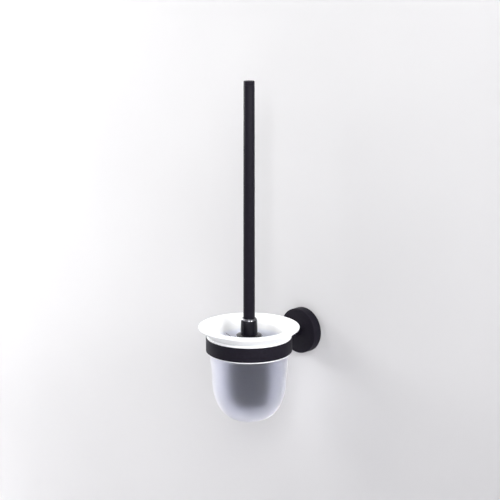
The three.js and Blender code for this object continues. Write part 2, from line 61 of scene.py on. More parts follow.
FULL_TURN = 2 * math.pi
UNMOVED = Matrix.Identity(4)

WIDE_SIDES = 128  # sides of the cup, band, liner and rose
BODY_SIDES = 64  # sides of the handle, collar and arm
SMALL_SIDES = 32  # sides of screws and bores
KEY_SIDES = 6  # sides of a hexagonal key
ARC_STEPS = 6  # facets in a rounded corner
FEW_STEPS = 3  # facets in a small one
OVERCUT = 1.0  # how far a cutting body runs past what it cuts
OVERLAP = 0.3  # how far a thread runs into the body that it is fused to
WELD = 1e-7  # points nearer than this, in metres, are merged
SMOOTH_ANGLE = math.radians(32)
ASIDE = 0.01  # a point is beside the middle from this share of a radius on
SEAM = 0.001  # a thread's points within this share of its pitch are merged
NOISE_STRENGTH = 0.55  # how strong a noise's finer layers are
# Roundings of edges, from the sharpest up
KEEN, HAIR, CRISP, FINE, SLIGHT, EASED, BLUNT, SOFT = 0.1, 0.12, 0.15, 0.2, 0.25, 0.3, 0.4, 0.5
# One tooth of a thread: each stroke's way out, and its rise as a share of the pitch
TOOTH = ((0, 0.12), (1, 0.38), (0, 0.12), (-1, 0.38))
PALE = (0.90, 0.90, 0.93, 1)  # the background that the camera sees

Corner = tuple[float, ...]
Colour = tuple[float, float, float]
Place = tuple[float, float, float]
Piece = bpy.types.Object
Socket = bpy.types.NodeSocket

log = logging.getLogger("brush_holder")


# ---- Places in the frame ----------------------------------------------------------------------------


class Axle(Enum):
    """The line a piece is modelled round, as a turn and a place for the piece's own +Z axis."""

    WALL = "out from the wall, through the middle of the rose"
    CUP = "up through the middle of the cup"

    def matrix(self) -> Matrix:
        """Gives the placing of this axle in the frame.

        Returns:
            Matrix: the turn and shift from a piece's own axes to the frame's.
        """
        if self is Axle.WALL:
            return turn(QUARTER)
        low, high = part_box("glass_cup")
        middle = (low + high) / 2
        return Matrix.Translation((middle.x, middle.y, 0))


@dataclass(frozen=True)
class Levels:
    """The lowest and highest place of a node along its axle, in millimetres."""

    low: float
    high: float

    @classmethod
    def of(cls, node: str, axle: Axle = Axle.CUP) -> "Levels":
        """Reads a node's levels from the frame.

        Args:
            node: the node's name.
            axle: the line along which they are measured.

        Returns:
            Levels: heights for the cup's axle, distances out from the wall for the wall's.
        """
        low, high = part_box(node)
        if axle is Axle.WALL:
            return cls(-high.y / MM, -low.y / MM)
        return cls(low.z / MM, high.z / MM)


def half_width(node: str) -> float:
    """Gives half a node's width, in millimetres."""
    low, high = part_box(node)
    return (high.x - low.x) / 2 / MM


def shift(x: float, y: float, z: float) -> Matrix:
    """Gives a move, in millimetres."""
    return Matrix.Translation((x * MM, y * MM, z * MM))


def turn(angle: float, axis: str = "X") -> Matrix:
    """Gives a turn about one of the axes."""
    return Matrix.Rotation(angle, 4, axis)


# ---- The bench: primitives and edit-mode tools ------------------------------------------------------


def clear_selection() -> None:
    """Leaves nothing selected, so that an operator acts only on what is chosen next."""
    bpy.ops.object.select_all(action="DESELECT")


def choose(*pieces: Piece) -> None:
    """Selects some pieces alone.

    Args:
        pieces: the pieces, of which the first becomes the active one.
    """
    clear_selection()
    for piece in pieces:
        piece.select_set(True)
    bpy.context.view_layer.objects.active = pieces[0]


@contextmanager
def editing(piece: Piece, kind: str = "VERT", whole: bool = False) -> Iterator[None]:
    """Holds a piece in edit mode.

    Args:
        piece: the piece to edit.
        kind: what the selection tools pick, VERT, EDGE or FACE.
        whole: whether all of it is selected first.
    """
    choose(piece)
    bpy.ops.object.mode_set(mode="EDIT")
    bpy.ops.mesh.select_mode(type=kind)
    if whole:
        bpy.ops.mesh.select_all(action="SELECT")
    try:
        yield
    finally:
        bpy.ops.object.mode_set(mode="OBJECT")


def pick(piece: Piece, kind: str, test: Callable[..., bool]) -> None:
    """Selects those of a piece's vertices or faces that pass a test. It is used in object mode.

    Args:
        piece: the piece.
        kind: vertices or polygons.
        test: tells whether one of them is picked.
    """
    for part in ("vertices", "edges", "polygons"):
        items = getattr(piece.data, part)
        items.foreach_set("select", [part == kind and test(item) for item in items])


def copy_of(piece: Piece) -> Piece:
    """Copies a piece with a mesh of its own.

    Args:
        piece: the piece to copy.

    Returns:
        Piece: the copy, in the same place.
    """
    made = piece.copy()
    made.data = piece.data.copy()
    bpy.context.collection.objects.link(made)
    return made


def settle(piece: Piece) -> Piece:
    """Puts a piece's place into its mesh, with its object at the origin.

    Args:
        piece: the piece.

    Returns:
        Piece: the same piece.
    """
    choose(piece)
    bpy.ops.object.transform_apply(location=True, rotation=True, scale=True)
    return piece


def set_down(piece: Piece, placing: Matrix = UNMOVED) -> Piece:
    """Moves a piece by a turn and shift, and settles it there."""
    piece.matrix_world = placing @ piece.matrix_world
    return settle(piece)


def join(pieces: Sequence[Piece]) -> Piece:
    """Joins pieces into the first of them.

    Args:
        pieces: the pieces to join.

    Returns:
        Piece: the one piece left.
    """
    choose(*pieces)
    bpy.ops.object.join()
    return bpy.context.view_layer.objects.active


def apply_modifier(piece: Piece, kind: str, **settings: object) -> Piece:
    """Puts one modifier on a piece and applies it.

    Args:
        piece: the piece.
        kind: the modifier's type.
        settings: its settings by name.

    Returns:
        Piece: the same piece.
    """
    modifier = piece.modifiers.new(kind.title(), kind)
    for name, value in settings.items():
        setattr(modifier, name, value)
    choose(piece)
    bpy.ops.object.modifier_apply(modifier=modifier.name)
    return piece


def cut(piece: Piece, *others: Piece, operation: str = "DIFFERENCE") -> Piece:
    """Cuts closed bodies out of a piece.

    Args:
        piece: the piece to cut.
        others: the bodies to take away, which are removed.
        operation: UNION adds them instead.

    Returns:
        Piece: the same piece.
    """
    for other in others:
        apply_modifier(piece, "BOOLEAN", operation=operation, solver="EXACT", object=other)
        bpy.data.objects.remove(other)
    return piece


def fuse(piece: Piece, *others: Piece) -> Piece:
    """Makes one closed body of a piece and others that overlap it."""
    return cut(piece, *others, operation="UNION")


def soften(piece: Piece, width: float, steps: int = 2) -> Piece:
    """Rounds every sharp edge of a piece by a width in millimetres, in so many facets."""
    limit = {"limit_method": "ANGLE", "angle_limit": SMOOTH_ANGLE}
    return apply_modifier(piece, "BEVEL", width=width * MM, segments=steps, **limit)


def rounded(outline: Sequence[Corner], closed: bool, steps: int) -> list[Vector]:
    """Replaces each corner that has a rounding by an arc.

    Args:
        outline: corners as (radius, height) or (radius, height, rounding).
        closed: whether the last corner joins the first.
        steps: facets in an arc.

    Returns:
        list[Vector]: the points (radius, height) along the outline.
    """
    points: list[Vector] = []
    count = len(outline)
    for index, facts in enumerate(outline):
        corner = Vector(facts[:2])
        rounding = facts[2] if len(facts) > 2 else 0.0
        if not rounding or (not closed and index in (0, count - 1)):
            points.append(corner)
            continue
        before = Vector(outline[index - 1][:2]) - corner
        after = Vector(outline[(index + 1) % count][:2]) - corner
        half = before.angle(after) / 2
        reach = min(rounding / math.tan(half), before.length / 2, after.length / 2)
        size = reach * math.tan(half)
        centre = corner + (before.normalized() + after.normalized()).normalized() * size / math.sin(half)
        first = corner + before.normalized() * reach - centre
        last = corner + after.normalized() * reach - centre
        start = math.atan2(first.y, first.x)
        swing = math.atan2(first.x * last.y - first.y * last.x, first.dot(last))
        for step in range(steps + 1):
            angle = start + swing * step / steps
            points.append(centre + Vector((math.cos(angle), math.sin(angle))) * size)
    return points


def circle(sides: int, radius: float, level: float = 0.0) -> Piece:
    """Starts a piece with a circle about +Z.

    Args:
        sides: its sides.
        radius: its radius, in millimetres.
        level: its height.

    Returns:
        Piece: the circle.
    """
    clear_selection()
    bpy.ops.mesh.primitive_circle_add(vertices=sides, radius=radius * MM, location=(0, 0, level * MM))
    return bpy.context.object


def extrude(x: float, y: float, z: float) -> None:
    """Extrudes what is selected by a step in millimetres, in edit mode."""
    bpy.ops.mesh.extrude_region_move(TRANSFORM_OT_translate={"value": (x * MM, y * MM, z * MM)})


def face_out() -> None:
    """Merges doubles and turns every face outwards, in edit mode."""
    bpy.ops.mesh.select_all(action="SELECT")
    bpy.ops.mesh.remove_doubles(threshold=WELD)
    bpy.ops.mesh.normals_make_consistent(inside=False)


def cap_ends() -> None:
    """Closes both ends of a swept circle, the selected end first, in edit mode."""
    bpy.ops.mesh.edge_face_add()
    bpy.ops.mesh.select_all(action="DESELECT")
    bpy.ops.mesh.select_non_manifold(extend=False)
    bpy.ops.mesh.edge_face_add()
    face_out()


def turned(
    outline: Sequence[Corner], closed: bool = False, sides: int = WIDE_SIDES, steps: int = ARC_STEPS
) -> Piece:
    """Turns an outline about the piece's own +Z axis.

    A circle is extruded and resized from each point of the outline to the next. An open outline starts and
    ends on the axis with a flat cap, and a closed one is bridged into a ring.

    Args:
        outline: corners as (radius, height) or (radius, height, rounding), in millimetres.
        closed: whether the outline is a ring's section.
        sides: sides of the circle.
        steps: facets in a rounded corner.

    Returns:
        Piece: the turned body.
    """
    stations = [point for point in rounded(outline, closed, steps) if point.x > 0]
    made = circle(sides, *stations[0])
    with editing(made, "EDGE", whole=True):
        for last, here in pairwise(stations):
            extrude(0, 0, here.y - last.y)
            growth = here.x / last.x
            bpy.ops.transform.resize(value=(growth, growth, 1), center_override=(0, 0, 0))
        if closed:
            bpy.ops.mesh.select_non_manifold(extend=False)
            bpy.ops.mesh.bridge_edge_loops()
            face_out()
        else:
            cap_ends()
    return set_down(made)


def rod(
    radius: float,
    low: float,
    high: float,
    edges: tuple[float, float] = (0, 0),
    foot: float | None = None,
    sides: int = SMALL_SIDES,
    steps: int = ARC_STEPS,
) -> Piece:
    """Makes a rod along +Z.

    Args:
        radius: its radius, in millimetres.
        low: where it starts.
        high: where it ends.
        edges: the roundings of its lower and upper edge.
        foot: its radius at the lower end, where that is another one.
        sides: its sides.
        steps: facets in a rounded edge.

    Returns:
        Piece: the rod.
    """
    outline = [(0, low), (foot or radius, low, edges[0]), (radius, high, edges[1]), (0, high)]
    return turned(outline, sides=sides, steps=steps)


def slot_cutter(radius: float, travel: float, low: float, high: float) -> Piece:
    """Makes a round-ended slot's cutter, long along its own X.

    Args:
        radius: half the slot's width, in millimetres.
        travel: how much longer than wide it is.
        low: where it starts.
        high: where it ends.

    Returns:
        Piece: the cutter.
    """
    made = rod(radius, low, high)
    for side in (1, -1):
        pick(made, "vertices", lambda point, side=side: point.co.x * side > radius * MM * ASIDE)
        with editing(made):
            bpy.ops.transform.translate(value=(side * travel / 2 * MM, 0, 0))
    return made


def block(size: Place, centre: Place, taper: float = 1.0) -> Piece:
    """Makes a block whose lower face may be narrower.

    Args:
        size: its size along X, Y and Z, in millimetres.
        centre: its middle.
        taper: the lower face's size as a share of the upper one's.

    Returns:
        Piece: the block.
    """
    place = [value * MM for value in centre]
    clear_selection()
    bpy.ops.mesh.primitive_cube_add(size=MM, location=place)
    made = bpy.context.object
    made.scale = size
    pick(set_down(made), "vertices", lambda point: point.co.z < place[2])
    with editing(made):
        bpy.ops.transform.resize(value=(taper, taper, 1), center_override=place)
    return made


class Thread(Enum):
    """The kinds of screw thread, by depth and pitch in millimetres."""

    SMALL = (0.22, 0.7)
    MACHINE = (0.25, 0.8)
    STUD = (0.3, 1.0)
    WOOD = (0.5, 1.8)

    def rod(self, radius: float, low: float, high: float) -> Piece:
        """Makes a rod with this thread along +Z.

        A zigzag line one tooth a pitch is swept round by a screw that climbs one pitch a turn, so its seam
        meets the next tooth. The ends are then cut square.

        Args:
            radius: radius over the thread's crests, in millimetres.
            low: where the rod starts.
            high: where it ends.

        Returns:
            Piece: the threaded rod.
        """
        depth, pitch = self.value
        start = low - 2 * pitch
        clear_selection()
        bpy.ops.mesh.primitive_plane_add(size=MM)
        made = bpy.context.object
        with editing(made, whole=True):
            bpy.ops.mesh.merge(type="CENTER")
            bpy.ops.transform.translate(value=((radius - depth) * MM, 0, start * MM))
            for _ in range(math.ceil((high - start) / pitch) + 1):
                for way, share in TOOTH:
                    extrude(way * depth, 0, share * pitch)
        sweep = {"axis": "Z", "angle": FULL_TURN, "screw_offset": pitch * MM, "use_merge_vertices": False}
        apply_modifier(made, "SCREW", steps=SMALL_SIDES, render_steps=SMALL_SIDES, **sweep)
        with editing(made, whole=True):
            bpy.ops.mesh.remove_doubles(threshold=pitch * MM * SEAM)
            for level, way in ((low, -1), (high, 1)):
                bpy.ops.mesh.select_all(action="SELECT")
                plane = {"plane_co": (0, 0, level * MM), "plane_no": (0, 0, way)}
                bpy.ops.mesh.bisect(**plane, use_fill=True, clear_outer=True)
            face_out()
        return made


# ---- Finishes ---------------------------------------------------------------------------------------


@dataclass(frozen=True)
class Grain:
    """A pattern of noise or of cells, whose features are about as large as its size in millimetres."""

    size: float
    detail: float = 3.0  # how many finer layers the noise has
    stretch: Place | None = None  # factors on the piece's coordinates
    cells: bool = False


Bumps = tuple[tuple[Grain, float, float], ...]  # patterns with their strengths and depths


class Graph:
    """A node tree, with short calls for the few nodes that are used."""

    def __init__(self, tree: bpy.types.NodeTree) -> None:
        """Takes the tree to add nodes to."""
        self.tree = tree

    def add(self, kind: str, out: str | int, inputs: dict[str | int, object], **settings: object) -> Socket:
        """Adds a node.

        Args:
            kind: the node's type.
            out: the output that is wanted.
            inputs: what each input takes, a value or the socket that gives it.
            settings: the node's settings by name.

        Returns:
            Socket: the output.
        """
        node = self.tree.nodes.new(f"ShaderNode{kind}")
        for name, value in settings.items():
            setattr(node, name, value)
        self.fill(node, inputs)
        return node.outputs[out]

    def fill(self, node: bpy.types.Node, inputs: dict[str | int, object]) -> None:
        """Sets or links a node's inputs.

        Args:
            node: the node.
            inputs: what each input takes, a value or the socket that gives it.
        """
        for name, value in inputs.items():
            if isinstance(value, Socket):
                self.tree.links.new(value, node.inputs[name])
            else:
                node.inputs[name].default_value = value

    def math(self, operation: str, first: Socket, second: Socket) -> Socket:
        """Reckons with two values."""
        return self.add("Math", "Value", {0: first, 1: second}, operation=operation)

    def mixed(self, share: Socket, first: Socket, second: Socket) -> Socket:
        """Mixes two shaders by a share, 0 for the first and 1 for the second."""
        return self.add("MixShader", "Shader", {"Fac": share, 1: first, 2: second})

    def looking(self) -> Socket:
        """Tells the rays that show a background, to the camera or in metal and glass, from those that light.

        Returns:
            Socket: 1 for a ray that shows the background.
        """
        seen = self.add("LightPath", "Is Camera Ray", {})
        rays = seen.node.outputs
        for kind in ("Is Glossy Ray", "Is Transmission Ray"):
            seen = self.math("MAXIMUM", seen, rays[kind])
        return seen


class Nodes(Graph):
    """A material's nodes, round one shader and the piece's own coordinates."""

    def __init__(self, name: str) -> None:
        """Starts a material.

        Args:
            name: the material's name.
        """
        self.material = bpy.data.materials.new(name)
        self.material.use_nodes = True
        super().__init__(self.material.node_tree)
        self.shader = self.tree.nodes["Principled BSDF"]
        self.place = self.add("TexCoord", "Object", {})

    @cache
    def pattern(self, grain: Grain) -> Socket:
        """Adds a grain's pattern, once.

        Args:
            grain: the grain.

        Returns:
            Socket: the noise's value, or the distance to a cell's middle.
        """
        place = self.place
        if grain.stretch:
            place = self.add("Mapping", "Vector", {"Vector": place, "Scale": grain.stretch})
        inputs = {"Vector": place, "Scale": 1 / (grain.size * MM)}
        if grain.cells:
            return self.add("TexVoronoi", "Distance", inputs)
        layers = {"Detail": grain.detail, "Roughness": NOISE_STRENGTH}
        return self.add("TexNoise", "Fac", {**inputs, **layers})

    def spread(
        self, source: Socket, low: float = 0.0, high: float = 1.0, start: float = 0.3, end: float = 0.7
    ) -> Socket:
        """Stretches a value from the range start to end, to the range low to high."""
        ranges = {"From Min": start, "From Max": end, "To Min": low, "To Max": high}
        return self.add("MapRange", "Result", {"Value": source, **ranges})

    def blend(self, share: Socket, first: Colour | Socket, second: Colour) -> Socket:
        """Mixes two colours by a share.

        Args:
            share: 0 for the first colour and 1 for the second.
            first: the first colour, or the socket that gives it.
            second: the second colour.

        Returns:
            Socket: the mixed colour.
        """
        start = first if isinstance(first, Socket) else (*first, 1)
        # This node has its colours as inputs 6 and 7 and as output 2
        return self.add("Mix", 2, {0: share, 6: start, 7: (*second, 1)}, data_type="RGBA")

    def mottled(self, grain: Grain, dark: Colour, light: Colour) -> Socket:
        """Mixes two colours by a grain's pattern."""
        return self.blend(self.spread(self.pattern(grain)), dark, light)

    def height(self) -> Socket:
        """Gives the height of a point in the frame, in metres."""
        return self.add("SeparateXYZ", "Z", {"Vector": self.place})

    def bump(self, grain: Grain, strength: float, depth: float) -> None:
        """Raises the surface by a grain's pattern, on top of any bump added before.

        Args:
            grain: the grain.
            strength: how strongly it tilts the surface.
            depth: how high it stands, in millimetres.
        """
        inputs = {"Strength": strength, "Distance": depth * MM, "Height": self.pattern(grain)}
        for earlier in self.shader.inputs["Normal"].links:
            inputs["Normal"] = earlier.from_socket
        self.fill(self.shader, {"Normal": self.add("Bump", "Normal", inputs)})


@dataclass(frozen=True)
class Finish:
    """A finish with a mottled colour, a mottled roughness and bumps."""

    name: str
    slot: str
    dark: Colour
    light: Colour
    mottle: Grain
    rough: tuple[float, float]  # the least and greatest roughness
    rough_grain: Grain
    bumps: Bumps
    plain: tuple[tuple[str, object], ...]  # what is the same all over

    def sockets(self, nodes: Nodes) -> dict[str, object]:
        """Gives what the shader's sockets take.

        Args:
            nodes: the material's nodes.

        Returns:
            dict: values, and sockets that give them, by name.
        """
        colour = nodes.mottled(self.mottle, self.dark, self.light)
        rough = nodes.spread(nodes.pattern(self.rough_grain), *self.rough)
        return {**dict(self.plain), "Base Color": colour, "Roughness": rough}

    @cache
    def material(self) -> bpy.types.Material:
        """Builds the finish's material, once.

        Returns:
            Material: the material.
        """
        nodes = Nodes(self.name)
        nodes.fill(nodes.shader, self.sockets(nodes))
        for bump in self.bumps:
            nodes.bump(*bump)
        return nodes.material


@dataclass(frozen=True)
class PowderCoat(Finish):
    """A black powder coat: satin, with a very fine orange peel and a faint mottle."""

    name: str = "powder coat"
    slot: str = "matte_black"
    dark: Colour = (0.0072, 0.0060, 0.0106)
    light: Colour = (0.0102, 0.0086, 0.0146)
    mottle: Grain = Grain(3.0)
    rough: tuple[float, float] = (0.46, 0.58)
    rough_grain: Grain = Grain(0.36)
    bumps: Bumps = ((Grain(0.55, 1), 0.10, 0.02), (Grain(0.12, 1), 0.12, 0.006))
    plain: tuple[tuple[str, object], ...] = (("IOR", 1.5), ("Specular IOR Level", 0.10))


@dataclass(frozen=True)
class GlossPlastic(Finish):
    """A smooth black moulding with faint flow lines, whose rounded shoulder is polished bright by hand."""

    name: str = "polished black moulding"
    slot: str = "gloss_black"
    dark: Colour = (0.0045, 0.0040, 0.0070)
    light: Colour = (0.0068, 0.0064, 0.0100)
    mottle: Grain = Grain(2.5, stretch=(1, 1, 0.35))
    rough: tuple[float, float] = (0.07, 0.10)
    rough_grain: Grain = Grain(0.8, 4)
    bumps: Bumps = ((mottle, 0.05, 0.02),)
    plain: tuple[tuple[str, object], ...] = (("IOR", 1.5), ("Specular IOR Level", 0.17))
    polish: Colour = (0.14, 0.14, 0.15)
    polish_from: float = 2.6  # how far below the collar's top the polish begins, in millimetres
    polish_full: float = 1.8

    def sockets(self, nodes: Nodes) -> dict[str, object]:
        """Gives what the shader's sockets take, with the polish over the black.

        Args:
            nodes: the material's nodes.

        Returns:
            dict: values, and sockets that give them, by name.
        """
        made = super().sockets(nodes)
        top = Levels.of("collar").high
        start, end = (top - self.polish_from) * MM, (top - self.polish_full) * MM
        polished = nodes.spread(nodes.height(), start=start, end=end)
        colour = nodes.blend(polished, made["Base Color"], self.polish)
        return {**made, "Base Color": colour, "Metallic": polished}


@dataclass(frozen=True)
class MouldedPlastic(Finish):
    """A moulded plastic with a fine spark-eroded grain."""

    mottle: Grain = Grain(4.0)
    rough: tuple[float, float] = (0.44, 0.56)
    rough_grain: Grain = Grain(1.2)
    bumps: Bumps = ((Grain(0.25, cells=True), 0.15, 0.01),)
    plain: tuple[tuple[str, object], ...] = (("IOR", 1.49), ("Specular IOR Level", 0.4))


@dataclass(frozen=True)
class Filament(Finish):
    """Black nylon filament, a little glossy, whose shade changes from strand to strand."""

    name: str = "nylon filament"
    slot: str = "bristle"
    dark: Colour = (0.006, 0.006, 0.011)
    light: Colour = (0.018, 0.018, 0.030)
    mottle: Grain = Grain(1.1, 1)
    rough: tuple[float, float] = (0.32, 0.46)
    rough_grain: Grain = Grain(0.4)
    bumps: Bumps = ((Grain(0.2, 1), 0.1, 0.01),)
    plain: tuple[tuple[str, object], ...] = (("IOR", 1.53),)


@dataclass(frozen=True)
class CupGlass(Finish):
    """Thick glass, clear and faintly blue below, milky in the neck and white in the flared lip."""

    name: str = "frosted glass"
    slot: str = "frosted_glass"
    dark: Colour = (0.86, 0.875, 1.0)
    light: Colour = (0.90, 0.915, 1.0)
    mottle: Grain = Grain(14.0)
    rough: tuple[float, float] = (0.53, 0.59)
    rough_grain: Grain = Grain(0.5)
    bumps: Bumps = ((Grain(0.12, 1), 0.08, 0.004),)
    plain: tuple[tuple[str, object], ...] = (("IOR", 1.45), ("Specular Tint", (0.84, 0.86, 1.0, 1.0)))
    # Partly painted: a bluish neck for the shade behind the band, a white lip for light coming through the
    # glass
    neck: Colour = (0.90, 0.925, 1.0)
    lip: Colour = (0.96, 0.97, 0.985)
    lip_from: float = 0.0  # height over the band where the bluish neck begins to turn white, in millimetres
    lip_full: float = 1.0  # height over the liner where the lip is all white
    body_clear: float = 0.98  # share of the light that the glass lets through below the band
    neck_clear: float = 0.06
    lip_clear: float = 0.20
    glow: float = 0.9  # the soft light that etching catches at the edges
    glow_rough: float = 0.4

    def sockets(self, nodes: Nodes) -> dict[str, object]:
        """Gives what the shader's sockets take, with colour and clearness changing with the height.

        Args:
            nodes: the material's nodes.

        Returns:
            dict: values, and sockets that give them, by name.
        """
        made = super().sockets(nodes)
        band, liner, height = Levels.of("ring_band"), Levels.of("ring_liner"), nodes.height()
        start, end = (band.high + self.lip_from) * MM, (liner.high + self.lip_full) * MM
        milky = nodes.spread(height, start=band.low * MM, end=band.high * MM)
        white = nodes.spread(height, start=start, end=end)
        through = nodes.spread(milky, self.body_clear, self.neck_clear, 0, 1)
        return {
            **made,
            "Base Color": nodes.blend(white, nodes.blend(milky, made["Base Color"], self.neck), self.lip),
            "Transmission Weight": nodes.add("Mix", 0, {"Factor": white, "A": through, "B": self.lip_clear}),
            "Sheen Weight": self.glow,
            "Sheen Roughness": self.glow_rough,
        }


@dataclass(frozen=True)
class CastMetal(Finish):
    """Die-cast zinc as it leaves the mould."""

    name: str = "cast zinc"
    slot: str = "zinc"
    dark: Colour = (0.42, 0.43, 0.45)
    light: Colour = (0.60, 0.61, 0.63)
    mottle: Grain = Grain(2.2, 5)
    rough: tuple[float, float] = (0.38, 0.58)
    rough_grain: Grain = Grain(0.9, 4)
    bumps: Bumps = ((Grain(0.35), 0.22, 0.03),)
    plain: tuple[tuple[str, object], ...] = (("Metallic", 1.0),)


@dataclass(frozen=True)
class TurnedMetal(CastMetal):
    """Stainless steel turned on the wall's axle, with fine tool marks round it."""

    name: str = "turned steel wall"
    slot: str = "steel"
    dark: Colour = (0.48, 0.48, 0.50)
    light: Colour = (0.68, 0.68, 0.69)
    mottle: Grain = Grain(0.12, 2, (0.05, 1, 0.05))
    rough: tuple[float, float] = (0.22, 0.34)
    rough_grain: Grain = Grain(0.7)
    bumps: Bumps = ((mottle, 0.12, 0.008),)


CUP_MARKS = Grain(0.12, 2, (0.05, 0.05, 1))

POWDER_COAT = PowderCoat()
GLOSS_PLASTIC = GlossPlastic()
SOFT_PLASTIC = MouldedPlastic("black moulding", "black_plastic", (0.008, 0.008, 0.011), (0.014, 0.014, 0.018))
SMOOTH_PLASTIC = replace(
    SOFT_PLASTIC,
    name="smooth black moulding",
    rough=(0.14, 0.26),
    bumps=((Grain(0.6, cells=True), 0.15, 0.01),),
)
MILK_PLASTIC = MouldedPlastic(
    "milky moulding", "milk_plastic", (0.88, 0.89, 0.91), (0.93, 0.935, 0.95), rough=(0.28, 0.40)
)
GREY_PLASTIC = MouldedPlastic(
    "grey moulding", "nylon", (0.32, 0.33, 0.34), (0.40, 0.41, 0.42), rough=(0.46, 0.58)
)
FILAMENT = Filament()
FROSTED_GLASS = CupGlass()
POLISHED_GLASS = replace(FROSTED_GLASS, name="polished glass", rough=(0.07, 0.12), glow=0.0)
MOUTH_GLASS = replace(
    FROSTED_GLASS,
    name="mouth glass",
    # painted light: the white lip reaches further down inside the mouth
    lip_from=-4.0,
    lip_full=-2.5,
    rough=(0.40, 0.48),
    # painted shade: a darker, bluer neck inside the mouth
    neck=(0.84, 0.875, 1.0),
    lip=(0.97, 0.975, 0.98),
    lip_clear=0.06,
    glow_rough=0.8,
)
CAST_METAL = CastMetal()
WALL_STEEL = TurnedMetal()
CUP_STEEL = replace(WALL_STEEL, name="turned steel cup", mottle=CUP_MARKS, bumps=((CUP_MARKS, 0.12, 0.008),))


# ---- The object's pieces ----------------------------------------------------------------------------


@dataclass
class Assembly:
    """A group of pieces that are made and dressed in the same way."""

    body: str
    axle: Axle
    made: list[Piece] = field(default_factory=list)

    def levels(self, node: str) -> Levels:
        """Gives a node's levels along this assembly's axle."""
        return Levels.of(node, self.axle)

    def dress(self, piece: Piece, name: str, node: str, finish: Finish, placing: Matrix = UNMOVED) -> Piece:
        """Names a piece, sets it in its place and gives it its finish.

        Args:
            piece: the piece, modelled about its own +Z.
            name: the piece's name.
            node: the node that it stands for.
            finish: its finish.
            placing: a placing along the axle before it is set in the frame.

        Returns:
            Piece: the finished piece.
        """
        choose(set_down(piece, self.axle.matrix() @ placing))
        bpy.ops.object.shade_smooth_by_angle(angle=SMOOTH_ANGLE)
        piece.name = name
        piece.data.name = name
        piece.data.materials.clear()
        piece.data.materials.append(finish.material())
        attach(piece, self.body)
        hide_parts(node)
        self.made.append(piece)
        log.info("%s: %d faces", name, len(piece.data.polygons))
        return piece


